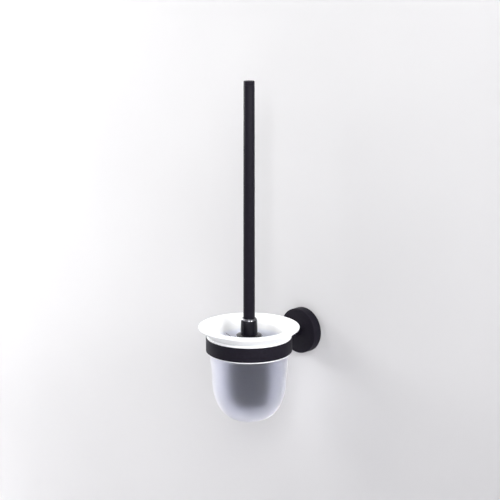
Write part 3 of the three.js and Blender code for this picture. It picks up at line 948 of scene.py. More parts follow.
@dataclass
class WallFixing(Assembly):
    """The rose and what it hides: the bracket, its two screws in their plugs, and the grub screw."""

    body: str = "holder"
    axle: Axle = Axle.WALL
    rose_radius: float = 25.0
    rose_wall: float = 2.0
    rose_front: float = 2.6
    rose_edge: float = 0.8
    arm_seat_radius: float = 5.3
    arm_seat_depth: float = 0.6
    arm_hole: float = 2.9
    bracket_radius: float = 22.4
    bracket_back: float = 2.4
    groove_depth: float = 2.4
    groove_floor: float = 0.3
    pocket_radius: float = 6.6
    screw_spacing: float = 26.0
    slot_travel: float = 3.0
    slot_play: float = 0.4
    counterbore_depth: float = 3.6
    screw_radius: float = 2.0
    screw_head: float = 3.9
    screw_head_height: float = 2.6
    screw_point: float = 4.2  # length of the point, of which the tip is blunt
    screw_point_root: float = 1.5
    screw_point_tip: float = 0.25
    screw_thread_from: float = 4.0  # where the thread starts, behind the tip
    screw_in_head: float = 0.5
    cross: Place = (3.9, 0.95, 2.6)  # one blade of the cross recess
    cross_taper: float = 0.45
    plug_bore: float = 2.15
    plug_skin: float = 3.35
    plug_rib: float = 0.5
    plug_ribs: int = 5
    plug_split: Place = (10, 0.9, 18)
    plug_split_middle: float = 8.0
    grub_radius: float = 2.0
    grub_play: float = 0.15
    grub_root: float = 0.1  # how much slimmer the point is than the screw
    grub_tip: float = 0.5
    grub_key: float = 1.1
    grub_key_depth: float = 1.4

    def build(self) -> None:
        """Makes every piece of the wall fixing."""
        self.dress(self.rose(), "rose_cover", "rose", POWDER_COAT)
        self.dress(self.bracket(), "bracket_casting", "wall_bracket", CAST_METAL)
        outward = shift(0, 0, self.groove_level())
        self.dress(self.grub_screw(), "grub_screw_set", "grub_screw", WALL_STEEL, outward)
        for place, side in (("upper", 1), ("lower", -1)):
            aside = self.aside(side)
            self.dress(self.wall_screw(), f"wall_screw_{place}", f"bracket_screw_{place}", WALL_STEEL, aside)
            self.dress(self.wall_plug(), f"nylon_plug_{place}", f"wall_plug_{place}", GREY_PLASTIC, aside)

    def aside(self, side: int) -> Matrix:
        """Gives the move from the middle to the upper screw, 1, or the lower one, -1."""
        return shift(0, side * self.screw_spacing / 2, 0)

    def groove_level(self) -> float:
        """Gives how far out from the wall the middle of the bracket is, in millimetres."""
        return self.levels("wall_bracket").high / 2

    def rose(self) -> Piece:
        """Models the round cover, open to the wall, with the hole for the grub screw in its underside.

        Returns:
            Piece: the cover.
        """
        depth = self.levels("rose")
        inner, outer = self.rose_radius - self.rose_wall, self.rose_radius
        inside, seat = depth.high - self.rose_front, depth.high - self.arm_seat_depth
        outline = [(inner, depth.low), (outer, depth.low, FINE), (outer, depth.high, self.rose_edge)]
        outline += [(self.arm_seat_radius, depth.high, CRISP), (self.arm_seat_radius, seat)]
        outline += [(self.arm_hole, seat), (self.arm_hole, inside), (inner, inside, self.rose_edge)]
        hole = rod(self.grub_radius + self.grub_play, inner - OVERCUT, outer + OVERCUT)
        set_down(hole, shift(0, 0, self.groove_level()) @ turn(QUARTER))
        return soften(cut(turned(outline, closed=True), hole), HAIR)

    def bracket(self) -> Piece:
        """Models the cast disc with its V groove, pocket and two screw slots.

        Returns:
            Piece: the bracket.
        """
        high, middle, rim = self.levels("wall_bracket").high, self.groove_level(), self.bracket_radius
        mouth, groove = self.groove_floor + self.groove_depth, rim - self.groove_depth
        outline = [(0, 0), (rim, 0, EASED), (rim, middle - mouth, FINE), (groove, middle - self.groove_floor)]
        outline += [(groove, middle + self.groove_floor), (rim, middle + mouth, FINE), (rim, high, BLUNT)]
        outline += [(self.pocket_radius, high, BLUNT), (self.pocket_radius, self.bracket_back, SOFT)]
        disc = turned([*outline, (0, self.bracket_back)], steps=FEW_STEPS)
        seat = high - self.counterbore_depth
        for side in (1, -1):
            for width, low in ((self.screw_radius, -OVERCUT), (self.screw_head, seat)):
                slot = slot_cutter(width + self.slot_play, self.slot_travel, low, high + OVERCUT)
                cut(disc, set_down(slot, self.aside(side)))
        return soften(disc, CRISP)

    def wall_screw(self) -> Piece:
        """Models a wood screw with a pan head and a cross recess.

        Returns:
            Piece: the screw, with its head's top at its node's outer end.
        """
        depth, height = self.levels("bracket_screw_upper"), self.screw_head_height
        seat = depth.high - height
        head = rod(self.screw_head, seat, depth.high, (CRISP, height / 2))
        shank = Thread.WOOD.rod(
            self.screw_radius, depth.low + self.screw_thread_from, seat + self.screw_in_head
        )
        root = depth.low + self.screw_point
        point = rod(self.screw_point_root, depth.low, root, foot=self.screw_point_tip)
        blades = [block(self.cross, (0, 0, depth.high), self.cross_taper) for _ in range(2)]
        set_down(blades[1], turn(QUARTER, "Z"))
        return cut(fuse(head, shank, point), *blades)

    def wall_plug(self) -> Piece:
        """Models a ribbed plug, split along its inner end so that it can spread.

        Returns:
            Piece: the plug, with its mouth at the wall.
        """
        depth, skin = self.levels("wall_plug_upper"), self.plug_skin
        pitch = (depth.high - depth.low) / (self.plug_ribs + 1)
        outline: list[Corner] = [(self.plug_bore, depth.low), (skin, depth.low, EASED)]
        for rib in range(self.plug_ribs):
            foot = depth.low + (rib + 1) * pitch
            outline += [(skin, foot - self.plug_rib), (skin + self.plug_rib, foot), (skin, foot)]
        outline += [(skin, depth.high, KEEN), (self.plug_bore, depth.high, FINE)]
        plug = turned(outline, closed=True, sides=SMALL_SIDES, steps=FEW_STEPS)
        return cut(plug, block(self.plug_split, (0, 0, depth.low + self.plug_split_middle)))

    def grub_screw(self) -> Piece:
        """Models the headless screw that points up into the bracket's groove.

        Returns:
            Piece: the screw, pointing at the rose's middle from below.
        """
        low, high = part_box("grub_screw")
        outer, tip = -low.z / MM, -high.z / MM
        root = tip + (self.grub_radius - self.grub_tip)
        point = rod(self.grub_radius - self.grub_root, tip, root, foot=self.grub_tip)
        grub = fuse(Thread.SMALL.rod(self.grub_radius, root - OVERLAP, outer), point)
        cut(grub, rod(self.grub_key, outer - self.grub_key_depth, outer + OVERCUT, sides=KEY_SIDES))
        return set_down(grub, turn(QUARTER))


@dataclass
class Arm(Assembly):
    """The round arm from the rose to the band, and the screw that pulls it onto the rose."""

    body: str = "holder"
    axle: Axle = Axle.WALL
    radius: float = 5.0
    spare: float = 5.0  # how far the bar runs on until the saddle cuts it off
    saddle_radius: float = 46.5
    saddle_half: float = 20.0
    bore_radius: float = 2.65
    bore_depth: float = 12.6
    ring_bore_radius: float = 2.15
    ring_bore_depth: float = 12.0
    screw_radius: float = 2.5
    screw_head: float = 4.6
    screw_head_height: float = 2.7
    screw_key: float = 1.7
    screw_key_depth: float = 1.5

    def build(self) -> None:
        """Makes the arm and its screw."""
        self.dress(self.arm(), "arm_bar", "arm", POWDER_COAT)
        self.dress(self.screw(), "arm_bolt", "arm_screw", WALL_STEEL)

    def arm(self) -> Piece:
        """Models the bar, saddled to the band and tapped at both ends.

        Returns:
            Piece: the arm.
        """
        depth, reach = self.levels("arm"), -Axle.CUP.matrix().translation.y / MM
        finish = {"edges": (SLIGHT, 0), "sides": BODY_SIDES, "steps": FEW_STEPS}
        bar = rod(self.radius, depth.low, depth.high + self.spare, **finish)
        saddle = rod(self.saddle_radius, -self.saddle_half, self.saddle_half, sides=WIDE_SIDES)
        set_down(saddle, shift(0, 0, reach) @ turn(QUARTER))
        end = reach - self.saddle_radius
        near = rod(self.bore_radius, depth.low - OVERCUT, depth.low + self.bore_depth)
        far = rod(self.ring_bore_radius, end - self.ring_bore_depth, end + self.spare)
        return soften(cut(bar, saddle, near, far), HAIR)

    def screw(self) -> Piece:
        """Models the socket screw whose head sits in the bracket's pocket.

        Returns:
            Piece: the screw.
        """
        depth = self.levels("arm_screw")
        seat = depth.low + self.screw_head_height
        head = rod(self.screw_head, depth.low, seat, (SOFT, CRISP), steps=FEW_STEPS)
        screw = fuse(head, Thread.MACHINE.rod(self.screw_radius, seat - OVERLAP, depth.high))
        key = rod(self.screw_key, depth.low - OVERCUT, depth.low + self.screw_key_depth, sides=KEY_SIDES)
        return cut(screw, key)


@dataclass
class Band(Assembly):
    """The band round the cup's neck, its milky liner and the screw that holds it to the arm."""

    body: str = "holder"
    axle: Axle = Axle.CUP
    radius: float = 46.2
    wall: float = 2.0
    edge: float = 0.5
    liner_outer: float = 44.0
    liner_wall: float = 1.1
    liner_chamfer: float = 1.9
    flange_radius: float = 45.5
    flange_land: float = 0.8
    bead_radius: float = 45.3
    gap: float = 0.3
    split: float = 9.0
    split_depth: float = 10.0
    screw_radius: float = 2.0
    screw_play: float = 0.4
    screw_length: float = 10.0
    screw_head: float = 3.6
    screw_head_play: float = 0.15
    screw_head_height: float = 1.4
    screw_neck: float = 0.4
    screw_steps: int = 2
    screw_key: float = 1.2
    screw_key_depth: float = 0.8

    def build(self) -> None:
        """Makes the band, liner and ring screw."""
        self.dress(self.band(), "band_ring", "ring_band", POWDER_COAT)
        self.dress(self.liner(), "cup_liner", "ring_liner", MILK_PLASTIC)
        self.dress(self.screw(), "band_screw", "ring_screw", WALL_STEEL, turn(-QUARTER))

    def inner(self) -> float:
        """Gives the band's inner radius, in millimetres."""
        return self.radius - self.wall

    def band(self) -> Piece:
        """Models the band with a countersunk hole at its back.

        Returns:
            Piece: the band.
        """
        tall, inner, outer = self.levels("ring_band"), self.inner(), self.radius
        outline = [(inner, tall.low, SLIGHT), (outer, tall.low, self.edge)]
        outline += [(outer, tall.high, self.edge), (inner, tall.high, SLIGHT)]
        sunk, shank = self.screw_head + self.screw_head_play, self.screw_radius + self.screw_play
        hole = [(0, inner - OVERCUT), (sunk, inner - OVERCUT), (sunk, inner)]
        hole += [(shank, inner + self.screw_head_height), (shank, outer + OVERCUT), (0, outer + OVERCUT)]
        return cut(turned(outline, closed=True), set_down(turned(hole, sides=SMALL_SIDES), turn(-QUARTER)))

    def liner(self) -> Piece:
        """Models the liner: a thin sleeve with a flange above the band, a bead below it and a split.

        Returns:
            Piece: the liner.
        """
        tall, band = self.levels("ring_liner"), self.levels("ring_band")
        inner, outer = self.liner_outer - self.liner_wall, self.liner_outer
        bead, flange = self.bead_radius, self.flange_radius
        under, over = band.low - self.gap, band.high + self.gap
        outline = [(inner, tall.low, FINE), (bead, tall.low, BLUNT), (bead, under, BLUNT), (outer, under)]
        outline += [(outer, over), (flange, over, CRISP), (flange, tall.high, BLUNT)]
        outline += [(flange - self.flange_land, tall.high, CRISP)]
        outline += [(inner, tall.high - self.liner_chamfer, EASED)]
        opening = block((self.split, self.split_depth, 2 * (tall.high - tall.low)), (0, outer, band.low))
        return soften(cut(turned(outline, closed=True), opening), CRISP)

    def screw(self) -> Piece:
        """Models the countersunk screw, pointing away from the cup.

        Returns:
            Piece: the screw.
        """
        top, radius = self.inner(), self.screw_radius
        low = top + self.screw_head_height
        neck = low + self.screw_neck
        outline = [(0, top), (self.screw_head, top, CRISP), (radius, low), (radius, neck), (0, neck)]
        thread = Thread.SMALL.rod(radius, low, low + self.screw_length)
        screw = fuse(turned(outline, sides=SMALL_SIDES, steps=self.screw_steps), thread)
        return cut(screw, rod(self.screw_key, top - OVERCUT, top + self.screw_key_depth, sides=KEY_SIDES))


@dataclass
class GlassCup(Assembly):
    """The frosted cup: a flared lip, a straight neck and a bowl like a squared ellipse."""

    body: str = "cup"
    axle: Axle = Axle.CUP
    lip_radius: float = 53.9
    lip_rim: float = 1.3
    lip_edge: float = 0.6
    lip_slope: float = 0.815
    neck_radius: float = 42.5
    neck_fillet: float = 3.0
    mouth_radius: float = 36.5
    mouth_fillet: float = 9.0
    mouth_facing: float = 0.1
    shoulder_fillet: float = 6.0
    belly_radius: float = 40.1
    belly_wall: float = 4.4
    bowl_height: float = 49.4
    bowl_flat: float = 8.7
    bowl_power: float = 2.29
    base: float = 6.0
    bowl_steps: int = 22
    arc_steps: int = 10

    def build(self) -> None:
        """Makes the cup, etched outside, polished in the bowl and white in the mouth."""
        cup = self.dress(self.cup(), "frosted_cup", "glass_cup", FROSTED_GLASS)
        top = self.levels("ring_band").low
        self.finish_inside(cup, POLISHED_GLASS, -math.inf, top, 0)
        # The mouth's white and its bluish neck are partly painted light and shade
        self.finish_inside(cup, MOUTH_GLASS, top, math.inf, self.mouth_facing)

    def finish_inside(self, cup: Piece, finish: CupGlass, low: float, high: float, facing: float) -> None:
        """Gives a stretch of the cup's inside a finish of its own.

        Args:
            cup: the finished cup.
            finish: the finish.
            low: the height where the stretch starts, in millimetres.
            high: the height where it ends.
            facing: how far a face must look towards the axis: 0 is any amount, 1 is straight at it.
        """
        middle = self.axle.matrix().translation

        def is_inside(face: bpy.types.MeshPolygon) -> bool:
            """Tells whether a face in the stretch looks into the cup.

            Args:
                face: the face.

            Returns:
                bool: whether it does.
            """
            place, normal = face.center, face.normal
            inward = Vector((middle.x - place.x, middle.y - place.y, 0))
            on_flat = inward.length < self.bowl_flat * MM and normal.z > 0
            looks_in = normal.dot(inward.normalized()) > facing or on_flat
            return low * MM <= place.z < high * MM and looks_in

        cup.data.materials.append(finish.material())
        pick(cup, "polygons", is_inside)
        with editing(cup, "FACE"):
            cup.active_material_index = len(cup.data.materials) - 1
            bpy.ops.object.material_slot_assign()

    def bowl(self, widest: float, height: float) -> list[Corner]:
        """Gives the bowl's section from its flat up to its widest circle.

        Args:
            widest: the radius at the top.
            height: how deep the bowl is.

        Returns:
            list: the section's points.
        """
        top = self.levels("glass_cup").low + self.bowl_height
        points: list[Corner] = []
        for step in range(self.bowl_steps + 1):
            angle = QUARTER * (1 - step / self.bowl_steps)
            out = max(math.cos(angle), 0) ** (2 / self.bowl_power)
            down = math.sin(angle) ** (2 / self.bowl_power)
            points.append((self.bowl_flat + (widest - self.bowl_flat) * out, top - height * down))
        return points

    def cup(self) -> Piece:
        """Models the cup, outside and inside, as one closed wall.

        Returns:
            Piece: the cup.
        """
        tall, foot = self.levels("glass_cup"), self.levels("ring_band").low
        neck, lip, mouth = self.neck_radius, self.lip_radius, self.mouth_radius
        rim = tall.high - self.lip_rim
        flare = rim - (lip - neck) * self.lip_slope
        outline = [(0, tall.low), *self.bowl(self.belly_radius, self.bowl_height)]
        outline += [(neck, foot, self.shoulder_fillet), (neck, flare, self.neck_fillet)]
        outline += [(lip, rim, self.lip_edge), (lip, tall.high, self.lip_edge)]
        outline += [(mouth, tall.high, self.mouth_fillet), (mouth, foot, self.shoulder_fillet)]
        outline += reversed(self.bowl(self.belly_radius - self.belly_wall, self.bowl_height - self.base))
        return turned([*outline, (0, tall.low + self.base)], steps=self.arc_steps)


@dataclass
class Handle(Assembly):
    """The long handle with its cap, the collar and disc at its foot, and what joins it to the head."""

    body: str = "brush"
    axle: Axle = Axle.CUP
    base_radius: float = 6.2
    top_radius: float = 5.8
    wall: float = 1.2
    cap_edge: float = 0.9
    cap_gap: float = 0.12
    cap_spigot: float = 4.45
    insert_radius: float = 4.8
    insert_sides: int = 48
    insert_bore: float = 3.15
    insert_bore_depth: float = 14.0
    stud_radius: float = 3.0
    stud_edge: float = 0.05
    collar_base: float = 9.15
    collar_top: float = 8.75
    collar_shoulder: float = 2.2
    collar_drop: float = 4.6
    collar_floor: float = 3.0
    collar_sleeve: float = 6.35
    collar_bore: float = 3.4
    collar_steps: int = 8
    shoulder_steps: int = 12
    disc_radius: float = 13.5
    disc_edge: float = 0.7
    disc_fall: float = 1.2
    disc_seat: float = 0.4  # how far the flat under the collar reaches past it
    disc_crown: float = 1.5

    def build(self) -> None:
        """Makes the handle and its fittings."""
        self.dress(self.tube(), "handle_bar", "handle_tube", POWDER_COAT)
        self.dress(self.cap(), "handle_end", "handle_cap", POWDER_COAT)
        self.dress(self.collar(), "gloss_collar", "collar", GLOSS_PLASTIC)
        self.dress(self.disc(), "splash_disc", "head_disc", SMOOTH_PLASTIC)
        self.dress(self.insert(), "handle_plug", "handle_insert", SOFT_PLASTIC)
        self.dress(self.stud(), "threaded_stud", "head_stud", CUP_STEEL)

    def tube(self) -> Piece:
        """Models the slightly tapered tube.

        Returns:
            Piece: the tube.
        """
        tall, foot, top = self.levels("handle_tube"), self.base_radius, self.top_radius
        outline = [(foot - self.wall, tall.low), (foot, tall.low, FINE)]
        outline += [(top, tall.high, FINE), (top - self.wall, tall.high)]
        return turned(outline, closed=True, sides=BODY_SIDES, steps=FEW_STEPS)

    def cap(self) -> Piece:
        """Models the end cap with its spigot.

        Returns:
            Piece: the cap.
        """
        tall, seat = self.levels("handle_cap"), self.levels("handle_tube").high + self.cap_gap
        spigot, rim = self.cap_spigot, self.top_radius
        outline = [(0, tall.low), (spigot, tall.low, SOFT), (spigot, seat)]
        outline += [(rim, seat, FINE), (rim, tall.high, self.cap_edge), (0, tall.high)]
        return turned(outline, sides=BODY_SIDES)

    def collar(self) -> Piece:
        """Models the round-shouldered collar that the handle stands in.

        Returns:
            Piece: the collar.
        """
        tall, sleeve, bore = self.levels("collar"), self.collar_sleeve, self.collar_bore
        floor = tall.low + self.collar_floor
        outline: list[Corner] = [(bore, tall.low), (self.collar_base, tall.low, EASED)]
        for step in range(self.shoulder_steps + 1):
            angle = QUARTER * step / self.shoulder_steps
            radius = self.collar_top - self.collar_shoulder * (1 - math.cos(angle))
            outline.append((radius, tall.high - self.collar_drop * (1 - math.sin(angle))))
        outline += [(sleeve, tall.high, HAIR), (sleeve, floor), (bore, floor)]
        return turned(outline, closed=True, sides=BODY_SIDES, steps=self.collar_steps)

    def disc(self) -> Piece:
        """Models the disc that keeps drips off the handle.

        Returns:
            Piece: the disc.
        """
        tall, bore, rim = self.levels("head_disc"), self.collar_bore, self.disc_radius
        outline = [(bore, tall.low), (rim, tall.low, BLUNT)]
        outline += [(rim, tall.high - self.disc_fall, self.disc_edge)]
        outline += [(self.collar_base + self.disc_seat, tall.high, self.disc_crown), (bore, tall.high)]
        return turned(outline, closed=True, sides=BODY_SIDES)

    def insert(self) -> Piece:
        """Models the plug in the handle's foot, with a bore for the stud.

        Returns:
            Piece: the plug.
        """
        tall = self.levels("handle_insert")
        finish = {"edges": (EASED, SOFT), "sides": self.insert_sides, "steps": FEW_STEPS}
        plug = rod(self.insert_radius, tall.low, tall.high, **finish)
        return cut(plug, rod(self.insert_bore, tall.low - OVERCUT, tall.low + self.insert_bore_depth))

    def stud(self) -> Piece:
        """Models the threaded stud between the handle and the head."""
        tall = self.levels("head_stud")
        return soften(Thread.STUD.rod(self.stud_radius, tall.low, tall.high), self.stud_edge, 1)


@dataclass
class BrushHead(Assembly):
    """The core with its rounds of filament tufts and the tuft at its end."""

    body: str = "brush"
    axle: Axle = Axle.CUP
    core_end: float = 6.0
    core_top: float = 7.5
    core_bore: float = 3.15
    core_bore_depth: float = 16.0
    hole_radius: float = 1.5
    hole_tilt: float = 0.5  # the most that a face with a hole looks up or down
    hole_reach: float = 0.5  # how near to a round's height its middle lies
    hole_inset: float = 0.25
    hole_edge: float = 0.05
    hole_depth: float = 0.8
    rows: int = 8
    tufts: int = 12
    tuft_sides: int = 4  # sides of the core to each tuft
    tuft_patterns: int = 5
    tuft_margin: float = 0.4  # how far the roots keep from their hole's edge
    tuft_depth: float = 0.6
    tuft_sway: float = 0.03
    spread_round: float = 0.30
    spread_up: float = 0.20
    strands: int = 24
    strand_patterns: int = 4
    strand_radius: float = 0.27
    strand_sides: int = 5
    strand_steps: int = 4
    strand_length: float = 22.0
    strand_shares: tuple[float, float] = (0.84, 1.02)  # the shortest and longest, as shares of that
    curl: float = 0.8
    strays: tuple[Corner, ...] = ((-2.62, 0.55), (-2.45, 0.62), (0.6, 0.35), (2.1, 0.42))  # ways round, rises
    stray_share: float = 1.03
    tip_strands: int = 160
    tip_crowding: float = 0.65
    tip_inset: float = 1.2
    tip_margin: float = 1.0
    tip_lift: float = 0.5
    tip_dome: float = 3.2
    seed: int = 7

    def build(self) -> None:
        """Makes the core and all the tufts."""
        draw = random.Random(self.seed)
        self.dress(self.core(), "head_core", "brush_core", SOFT_PLASTIC)
        strands = [self.strand(draw) for _ in range(self.strand_patterns)]
        tufts = [self.tuft(strands, draw) for _ in range(self.tuft_patterns)]
        for row in range(1, self.rows + 1):
            node = f"bristle_row_{row}"
            planted = self.row(node, tufts, draw)
            if row == 1:
                planted += self.stray_strands(node, strands[0], draw)
            self.dress(join(planted), f"tuft_round_{row}", node, FILAMENT)
        self.dress(self.tip(strands, draw), "tuft_end", "bristle_tip", FILAMENT)
        for pattern in strands + tufts:
            bpy.data.objects.remove(pattern)

    def core_radius(self, height: float) -> float:
        """Gives the core's radius at a height, in millimetres."""
        tall, growth = self.levels("brush_core"), self.core_top - self.core_end
        return self.core_end + growth * ((height - tall.low) / (tall.high - tall.low))

    def core(self) -> Piece:
        """Models the tapered core, with a socket pressed in for each tuft.

        Returns:
            Piece: the core.
        """
        tall = self.levels("brush_core")
        rows = [self.levels(f"bristle_row_{row}") for row in range(1, self.rows + 1)]
        middles = sorted((row.low + row.high) / 2 for row in rows)
        outline: list[Corner] = [(0, tall.low), (self.core_end, tall.low, SOFT)]
        for middle in middles:
            for edge in (middle - self.hole_radius, middle + self.hole_radius):
                outline.append((self.core_radius(edge), edge))
        outline += [(self.core_top, tall.high, EASED), (0, tall.high)]
        sides = self.tuft_sides * self.tufts
        core = turned(outline, sides=sides, steps=FEW_STEPS)

        def is_socket(face: bpy.types.MeshPolygon) -> bool:
            """Tells whether a face lies where a tuft goes in.

            Args:
                face: the face.

            Returns:
                bool: whether it does.
            """
            if face.normal.length == 0 or abs(face.normal.z) > self.hole_tilt:
                return False
            side = round(math.atan2(face.center.y, face.center.x) / FULL_TURN * sides - 0.5)
            level = face.center.z / MM
            at_round = any(abs(level - middle) < self.hole_reach for middle in middles)
            return side % self.tuft_sides in (0, 1) and at_round

        pick(core, "polygons", is_socket)
        with editing(core, "FACE"):
            bpy.ops.mesh.inset(thickness=self.hole_inset * MM, depth=0)
            bpy.ops.mesh.inset(thickness=self.hole_edge * MM, depth=-self.hole_depth * MM)
        return cut(core, rod(self.core_bore, tall.high - self.core_bore_depth, tall.high + OVERCUT))

    def strand(self, draw: random.Random) -> Piece:
        """Models one filament along +Z, gently curled, a few dozen faces in all.

        Args:
            draw: the source of random numbers.

        Returns:
            Piece: the filament.
        """
        made = circle(self.strand_sides, self.strand_radius)
        heading = draw.uniform(0, FULL_TURN)
        with editing(made, "EDGE", whole=True):
            for index in range(self.strand_steps):
                drift = self.curl * (index + 0.5) / self.strand_steps
                rise = self.strand_length / self.strand_steps
                extrude(math.cos(heading) * drift, math.sin(heading) * drift, rise)
            cap_ends()
        return made

    def planted(self, pattern: Piece, root: Vector, aim: Vector, length: float, draw: random.Random) -> Piece:
        """Copies a filament and plants it, turned about itself by chance.

        Args:
            pattern: the filament to copy.
            root: where it starts, in millimetres.
            aim: the direction that it grows in.
            length: its length as a share of the pattern's.
            draw: the source of random numbers.

        Returns:
            Piece: the planted filament.
        """
        made = copy_of(pattern)
        lean = Vector((0, 0, 1)).rotation_difference(aim.normalized()).to_matrix().to_4x4()
        spin = turn(draw.uniform(0, FULL_TURN), "Z")
        made.matrix_world = Matrix.Translation(root * MM) @ lean @ spin @ Matrix.Diagonal((1, 1, length, 1))
        return made

    def tuft(self, strands: list[Piece], draw: random.Random) -> Piece:
        """Models one tuft along +X that fans out towards its tips.

        Args:
            strands: filaments to copy.
            draw: the source of random numbers.

        Returns:
            Piece: the tuft, with its root at the origin.
        """
        inset, planted = self.hole_radius - self.tuft_margin, []
        for _ in range(self.strands):
            angle, far = draw.uniform(0, FULL_TURN), math.sqrt(draw.random())
            across, up = math.cos(angle) * far, math.sin(angle) * far
            root = Vector((0, across * inset, up * inset))
            aim = Vector((1, across * self.spread_round, up * self.spread_up))
            length = draw.uniform(*self.strand_shares) / aim.length
            planted.append(self.planted(draw.choice(strands), root, aim, length, draw))
        return settle(join(planted))

    def root_of(self, node: str) -> tuple[float, float]:
        """Gives the radius and the height at which a round's tufts have their roots.

        Args:
            node: the node that gives the round's place.

        Returns:
            tuple: the two, in millimetres.
        """
        low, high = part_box(node)
        middle = (low.z + high.z) / 2 / MM
        return self.core_radius(middle) - self.tuft_depth, middle

    def row(self, node: str, tufts: list[Piece], draw: random.Random) -> list[Piece]:
        """Sets a round of tufts in the core.

        Args:
            node: the node that gives the round's place and reach.
            tufts: tufts to copy.
            draw: the source of random numbers.

        Returns:
            list: the round's tufts.
        """
        root, middle = self.root_of(node)
        stretch = Matrix.Diagonal(((half_width(node) - root) / self.strand_length, 1, 1, 1))
        planted = []
        for index in range(self.tufts):
            tuft = copy_of(draw.choice(tufts))
            angle = FULL_TURN * (index + 0.5) / self.tufts + draw.uniform(-self.tuft_sway, self.tuft_sway)
            tuft.matrix_world = turn(angle, "Z") @ shift(root, 0, middle) @ stretch
            planted.append(tuft)
        return planted

    def stray_strands(self, node: str, strand: Piece, draw: random.Random) -> list[Piece]:
        """Plants the few filaments that stray upwards from a round.

        Args:
            node: the node that gives the round's place.
            strand: the filament to copy.
            draw: the source of random numbers.

        Returns:
            list: the filaments.
        """
        root, middle = self.root_of(node)
        planted = []
        for angle, rise in self.strays:
            away = Vector((math.cos(angle), math.sin(angle), 0))
            foot, aim = away * root + Vector((0, 0, middle)), away + Vector((0, 0, rise))
            planted.append(self.planted(strand, foot, aim, self.stray_share, draw))
        return planted

    def tip(self, strands: list[Piece], draw: random.Random) -> Piece:
        """Models the tuft under the end of the core, which fans down and out.

        Args:
            strands: filaments to copy.
            draw: the source of random numbers.

        Returns:
            Piece: the end tuft.
        """
        tall, reach = self.levels("bristle_tip"), half_width("bristle_tip") - self.tip_margin
        planted = []
        for _ in range(self.tip_strands):
            angle, far = draw.uniform(0, FULL_TURN), draw.random() ** self.tip_crowding
            away = Vector((math.cos(angle), math.sin(angle), 0)) * far
            root = away * (self.core_end - self.tip_inset) + Vector((0, 0, tall.high + self.tuft_depth))
            end = away * reach + Vector((0, 0, tall.low + self.tip_lift + self.tip_dome * far * far))
            aim = end - root
            length = aim.length / self.strand_length
            planted.append(self.planted(draw.choice(strands), root, aim, length, draw))
        return join(planted)


# ---- The studio -------------------------------------------------------------------------------------


def aim_at(thing: bpy.types.Object, place: Place, aim: Place) -> None:
    """Adds a lamp or camera to the scene, aimed at a point.

    Args:
        thing: the lamp or camera.
        place: its place, in metres.
        aim: the point.
    """
    thing.location = place
    thing.rotation_euler = (Vector(aim) - Vector(place)).to_track_quat("-Z", "Y").to_euler()
    bpy.context.collection.objects.link(thing)


@dataclass(frozen=True)
class Lamp:
    """A square area lamp, aimed at a point. Places are in metres and power in watts."""

    name: str
    place: Place
    aim: Place
    size: float
    power: float

    def build(self) -> None:
        """Adds the lamp to the scene."""
        data = bpy.data.lights.new(self.name, "AREA")
        data.size = self.size
        data.energy = self.power
        aim_at(bpy.data.objects.new(self.name, data), self.place, self.aim)


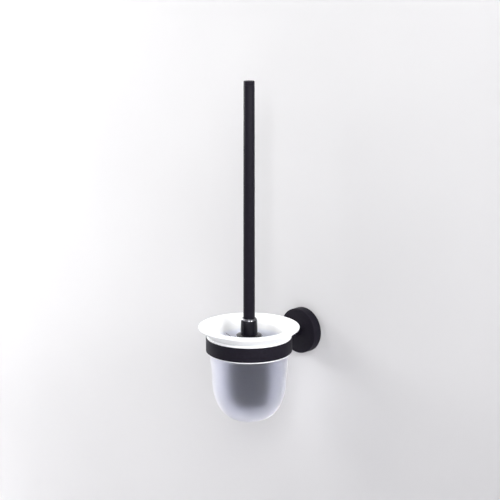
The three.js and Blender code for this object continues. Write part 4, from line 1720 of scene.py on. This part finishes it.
@dataclass(frozen=True)
class Studio:
    """A plain pale wall and floor, soft lamps and the camera. Places are in metres."""

    wall_gap: float = 0.0002
    wall_size: float = 4.0
    floor_level: float = -0.45
    opening: float = 0.0235  # radius of the wall's opening, which the rose hides
    opening_edge: float = 0.0005
    fade_from: float = 0.6  # distance from the rose at which wall and floor begin to fade
    fade_full: float = 1.6
    wall_dark: Colour = (0.78, 0.775, 0.785)
    wall_light: Colour = (0.82, 0.815, 0.825)
    wall_mottle: Grain = Grain(300, 2)
    wall_bump: tuple[Grain, float, float] = (Grain(6, 4), 0.08, 0.4)
    wall_rough: float = 0.9
    wall_gloss: float = 0.2
    # painted shade: the colour the paint darkens to towards the lower right
    wall_painted_shade: Colour = (0.62, 0.615, 0.63)
    painted_shade_way: Place = (0.5, 0, -0.5)  # the way along the wall in which painted shade darkens the paint
    painted_shade_reach: float = 0.2
    world_colour: Colour = (0.95, 0.95, 1.0)
    world_power: float = 0.03
    camera_place: Place = (1.0931, -1.1940, 0.4681)
    camera_aim: Place = (-0.0011, -0.0848, 0.1038)
    lens: float = 109.1
    lamps: tuple[Lamp, ...] = (
        Lamp("overhead", (0.30, -0.42, 1.75), (0, -0.09, 0.03), 0.34, 4),
        Lamp("front", (1.22, -1.33, 0.84), (0, -0.09, 0.03), 0.9, 21),
        Lamp("left front", (-0.85, -0.80, 0.72), (0, -0.09, 0.03), 0.7, 5),
        Lamp("left side", (-1.25, -0.13, 0.42), (0, -0.20, 0.03), 0.5, 23),
        Lamp("right side", (1.25, -0.22, 0.52), (0, -0.25, 0.03), 0.4, 12),
    )

    def paint(self) -> bpy.types.Material:
        """Builds the paint of wall and floor, which fades far out into the background that the camera sees.

        It lets light through from behind and in the opening under the rose, and darkens in painted shade.

        Returns:
            Material: the material.
        """
        nodes = Nodes("wall paint")
        mottle = nodes.mottled(self.wall_mottle, self.wall_dark, self.wall_light)
        way = {0: nodes.place, 1: self.painted_shade_way}
        along = nodes.add("VectorMath", "Value", way, operation="DOT_PRODUCT")
        # Painted shade: the paint darkens along a slant towards the lower right, for the shadow of the cup
        # and rose
        shade = nodes.spread(along, start=-self.painted_shade_reach, end=self.painted_shade_reach)
        colour = nodes.blend(shade, mottle, self.wall_painted_shade)
        plain = {"Roughness": self.wall_rough, "Specular IOR Level": self.wall_gloss}
        nodes.fill(nodes.shader, {**plain, "Base Color": colour})
        nodes.bump(*self.wall_bump)
        away = nodes.add("VectorMath", "Value", {0: nodes.place}, operation="LENGTH")
        far = nodes.spread(away, start=self.fade_from, end=self.fade_full)
        pale = nodes.add("Emission", "Emission", {"Color": PALE})
        seen = nodes.math("MULTIPLY", nodes.looking(), far)
        faded = nodes.mixed(seen, nodes.shader.outputs["BSDF"], pale)
        hole = nodes.spread(away, 1, 0, self.opening - self.opening_edge, self.opening)
        gone = nodes.math("MAXIMUM", nodes.add("NewGeometry", "Backfacing", {}), hole)
        surface = nodes.mixed(gone, faded, nodes.add("BsdfTransparent", "BSDF", {}))
        nodes.fill(nodes.tree.nodes["Material Output"], {"Surface": surface})
        return nodes.material

    def sheet(self, name: str, placing: Matrix, material: bpy.types.Material) -> None:
        """Adds one flat sheet of the backdrop.

        Args:
            name: the sheet's name.
            placing: the turn and shift that it is given.
            material: its material.
        """
        clear_selection()
        bpy.ops.mesh.primitive_plane_add(size=self.wall_size)
        sheet = set_down(bpy.context.object, placing)
        sheet.name = name
        sheet.data.materials.append(material)

    def light_world(self) -> None:
        """Makes the even light all round, which the camera, metal and glass see as a pale background."""
        world = bpy.data.worlds.new("studio")
        bpy.context.scene.world = world
        world.use_nodes = True
        graph, nodes = Graph(world.node_tree), world.node_tree.nodes
        soft = {"Color": (*self.world_colour, 1), "Strength": self.world_power}
        graph.fill(nodes["Background"], soft)
        pale = graph.add("Background", "Background", {"Color": PALE})
        light = graph.mixed(graph.looking(), nodes["Background"].outputs["Background"], pale)
        graph.fill(nodes["World Output"], {"Surface": light})

    def place_camera(self) -> None:
        """Adds the camera and makes it the scene's."""
        data = bpy.data.cameras.new("camera")
        data.lens = self.lens
        camera = bpy.data.objects.new("camera", data)
        aim_at(camera, self.camera_place, self.camera_aim)
        bpy.context.scene.camera = camera

    def build(self) -> None:
        """Makes the whole studio."""
        paint = self.paint()
        upright = Matrix.Translation((0, self.wall_gap, 0)) @ turn(QUARTER)
        self.sheet("backdrop_wall", upright, paint)
        self.sheet("backdrop_floor", Matrix.Translation((0, 0, self.floor_level)), paint)
        self.light_world()
        for lamp in self.lamps:
            lamp.build()
        self.place_camera()
        bpy.context.scene.view_settings.view_transform = "Standard"


def main() -> None:
    """Builds the studio and the object, piece by piece."""
    logging.basicConfig(level=logging.INFO, format="%(message)s")
    Studio().build()
    for assembly in (WallFixing(), Arm(), Band(), GlassCup(), Handle(), BrushHead()):
        assembly.build()
        log.info("%s: %d pieces", type(assembly).__name__, len(assembly.made))


if __name__ == "__main__":
    main()
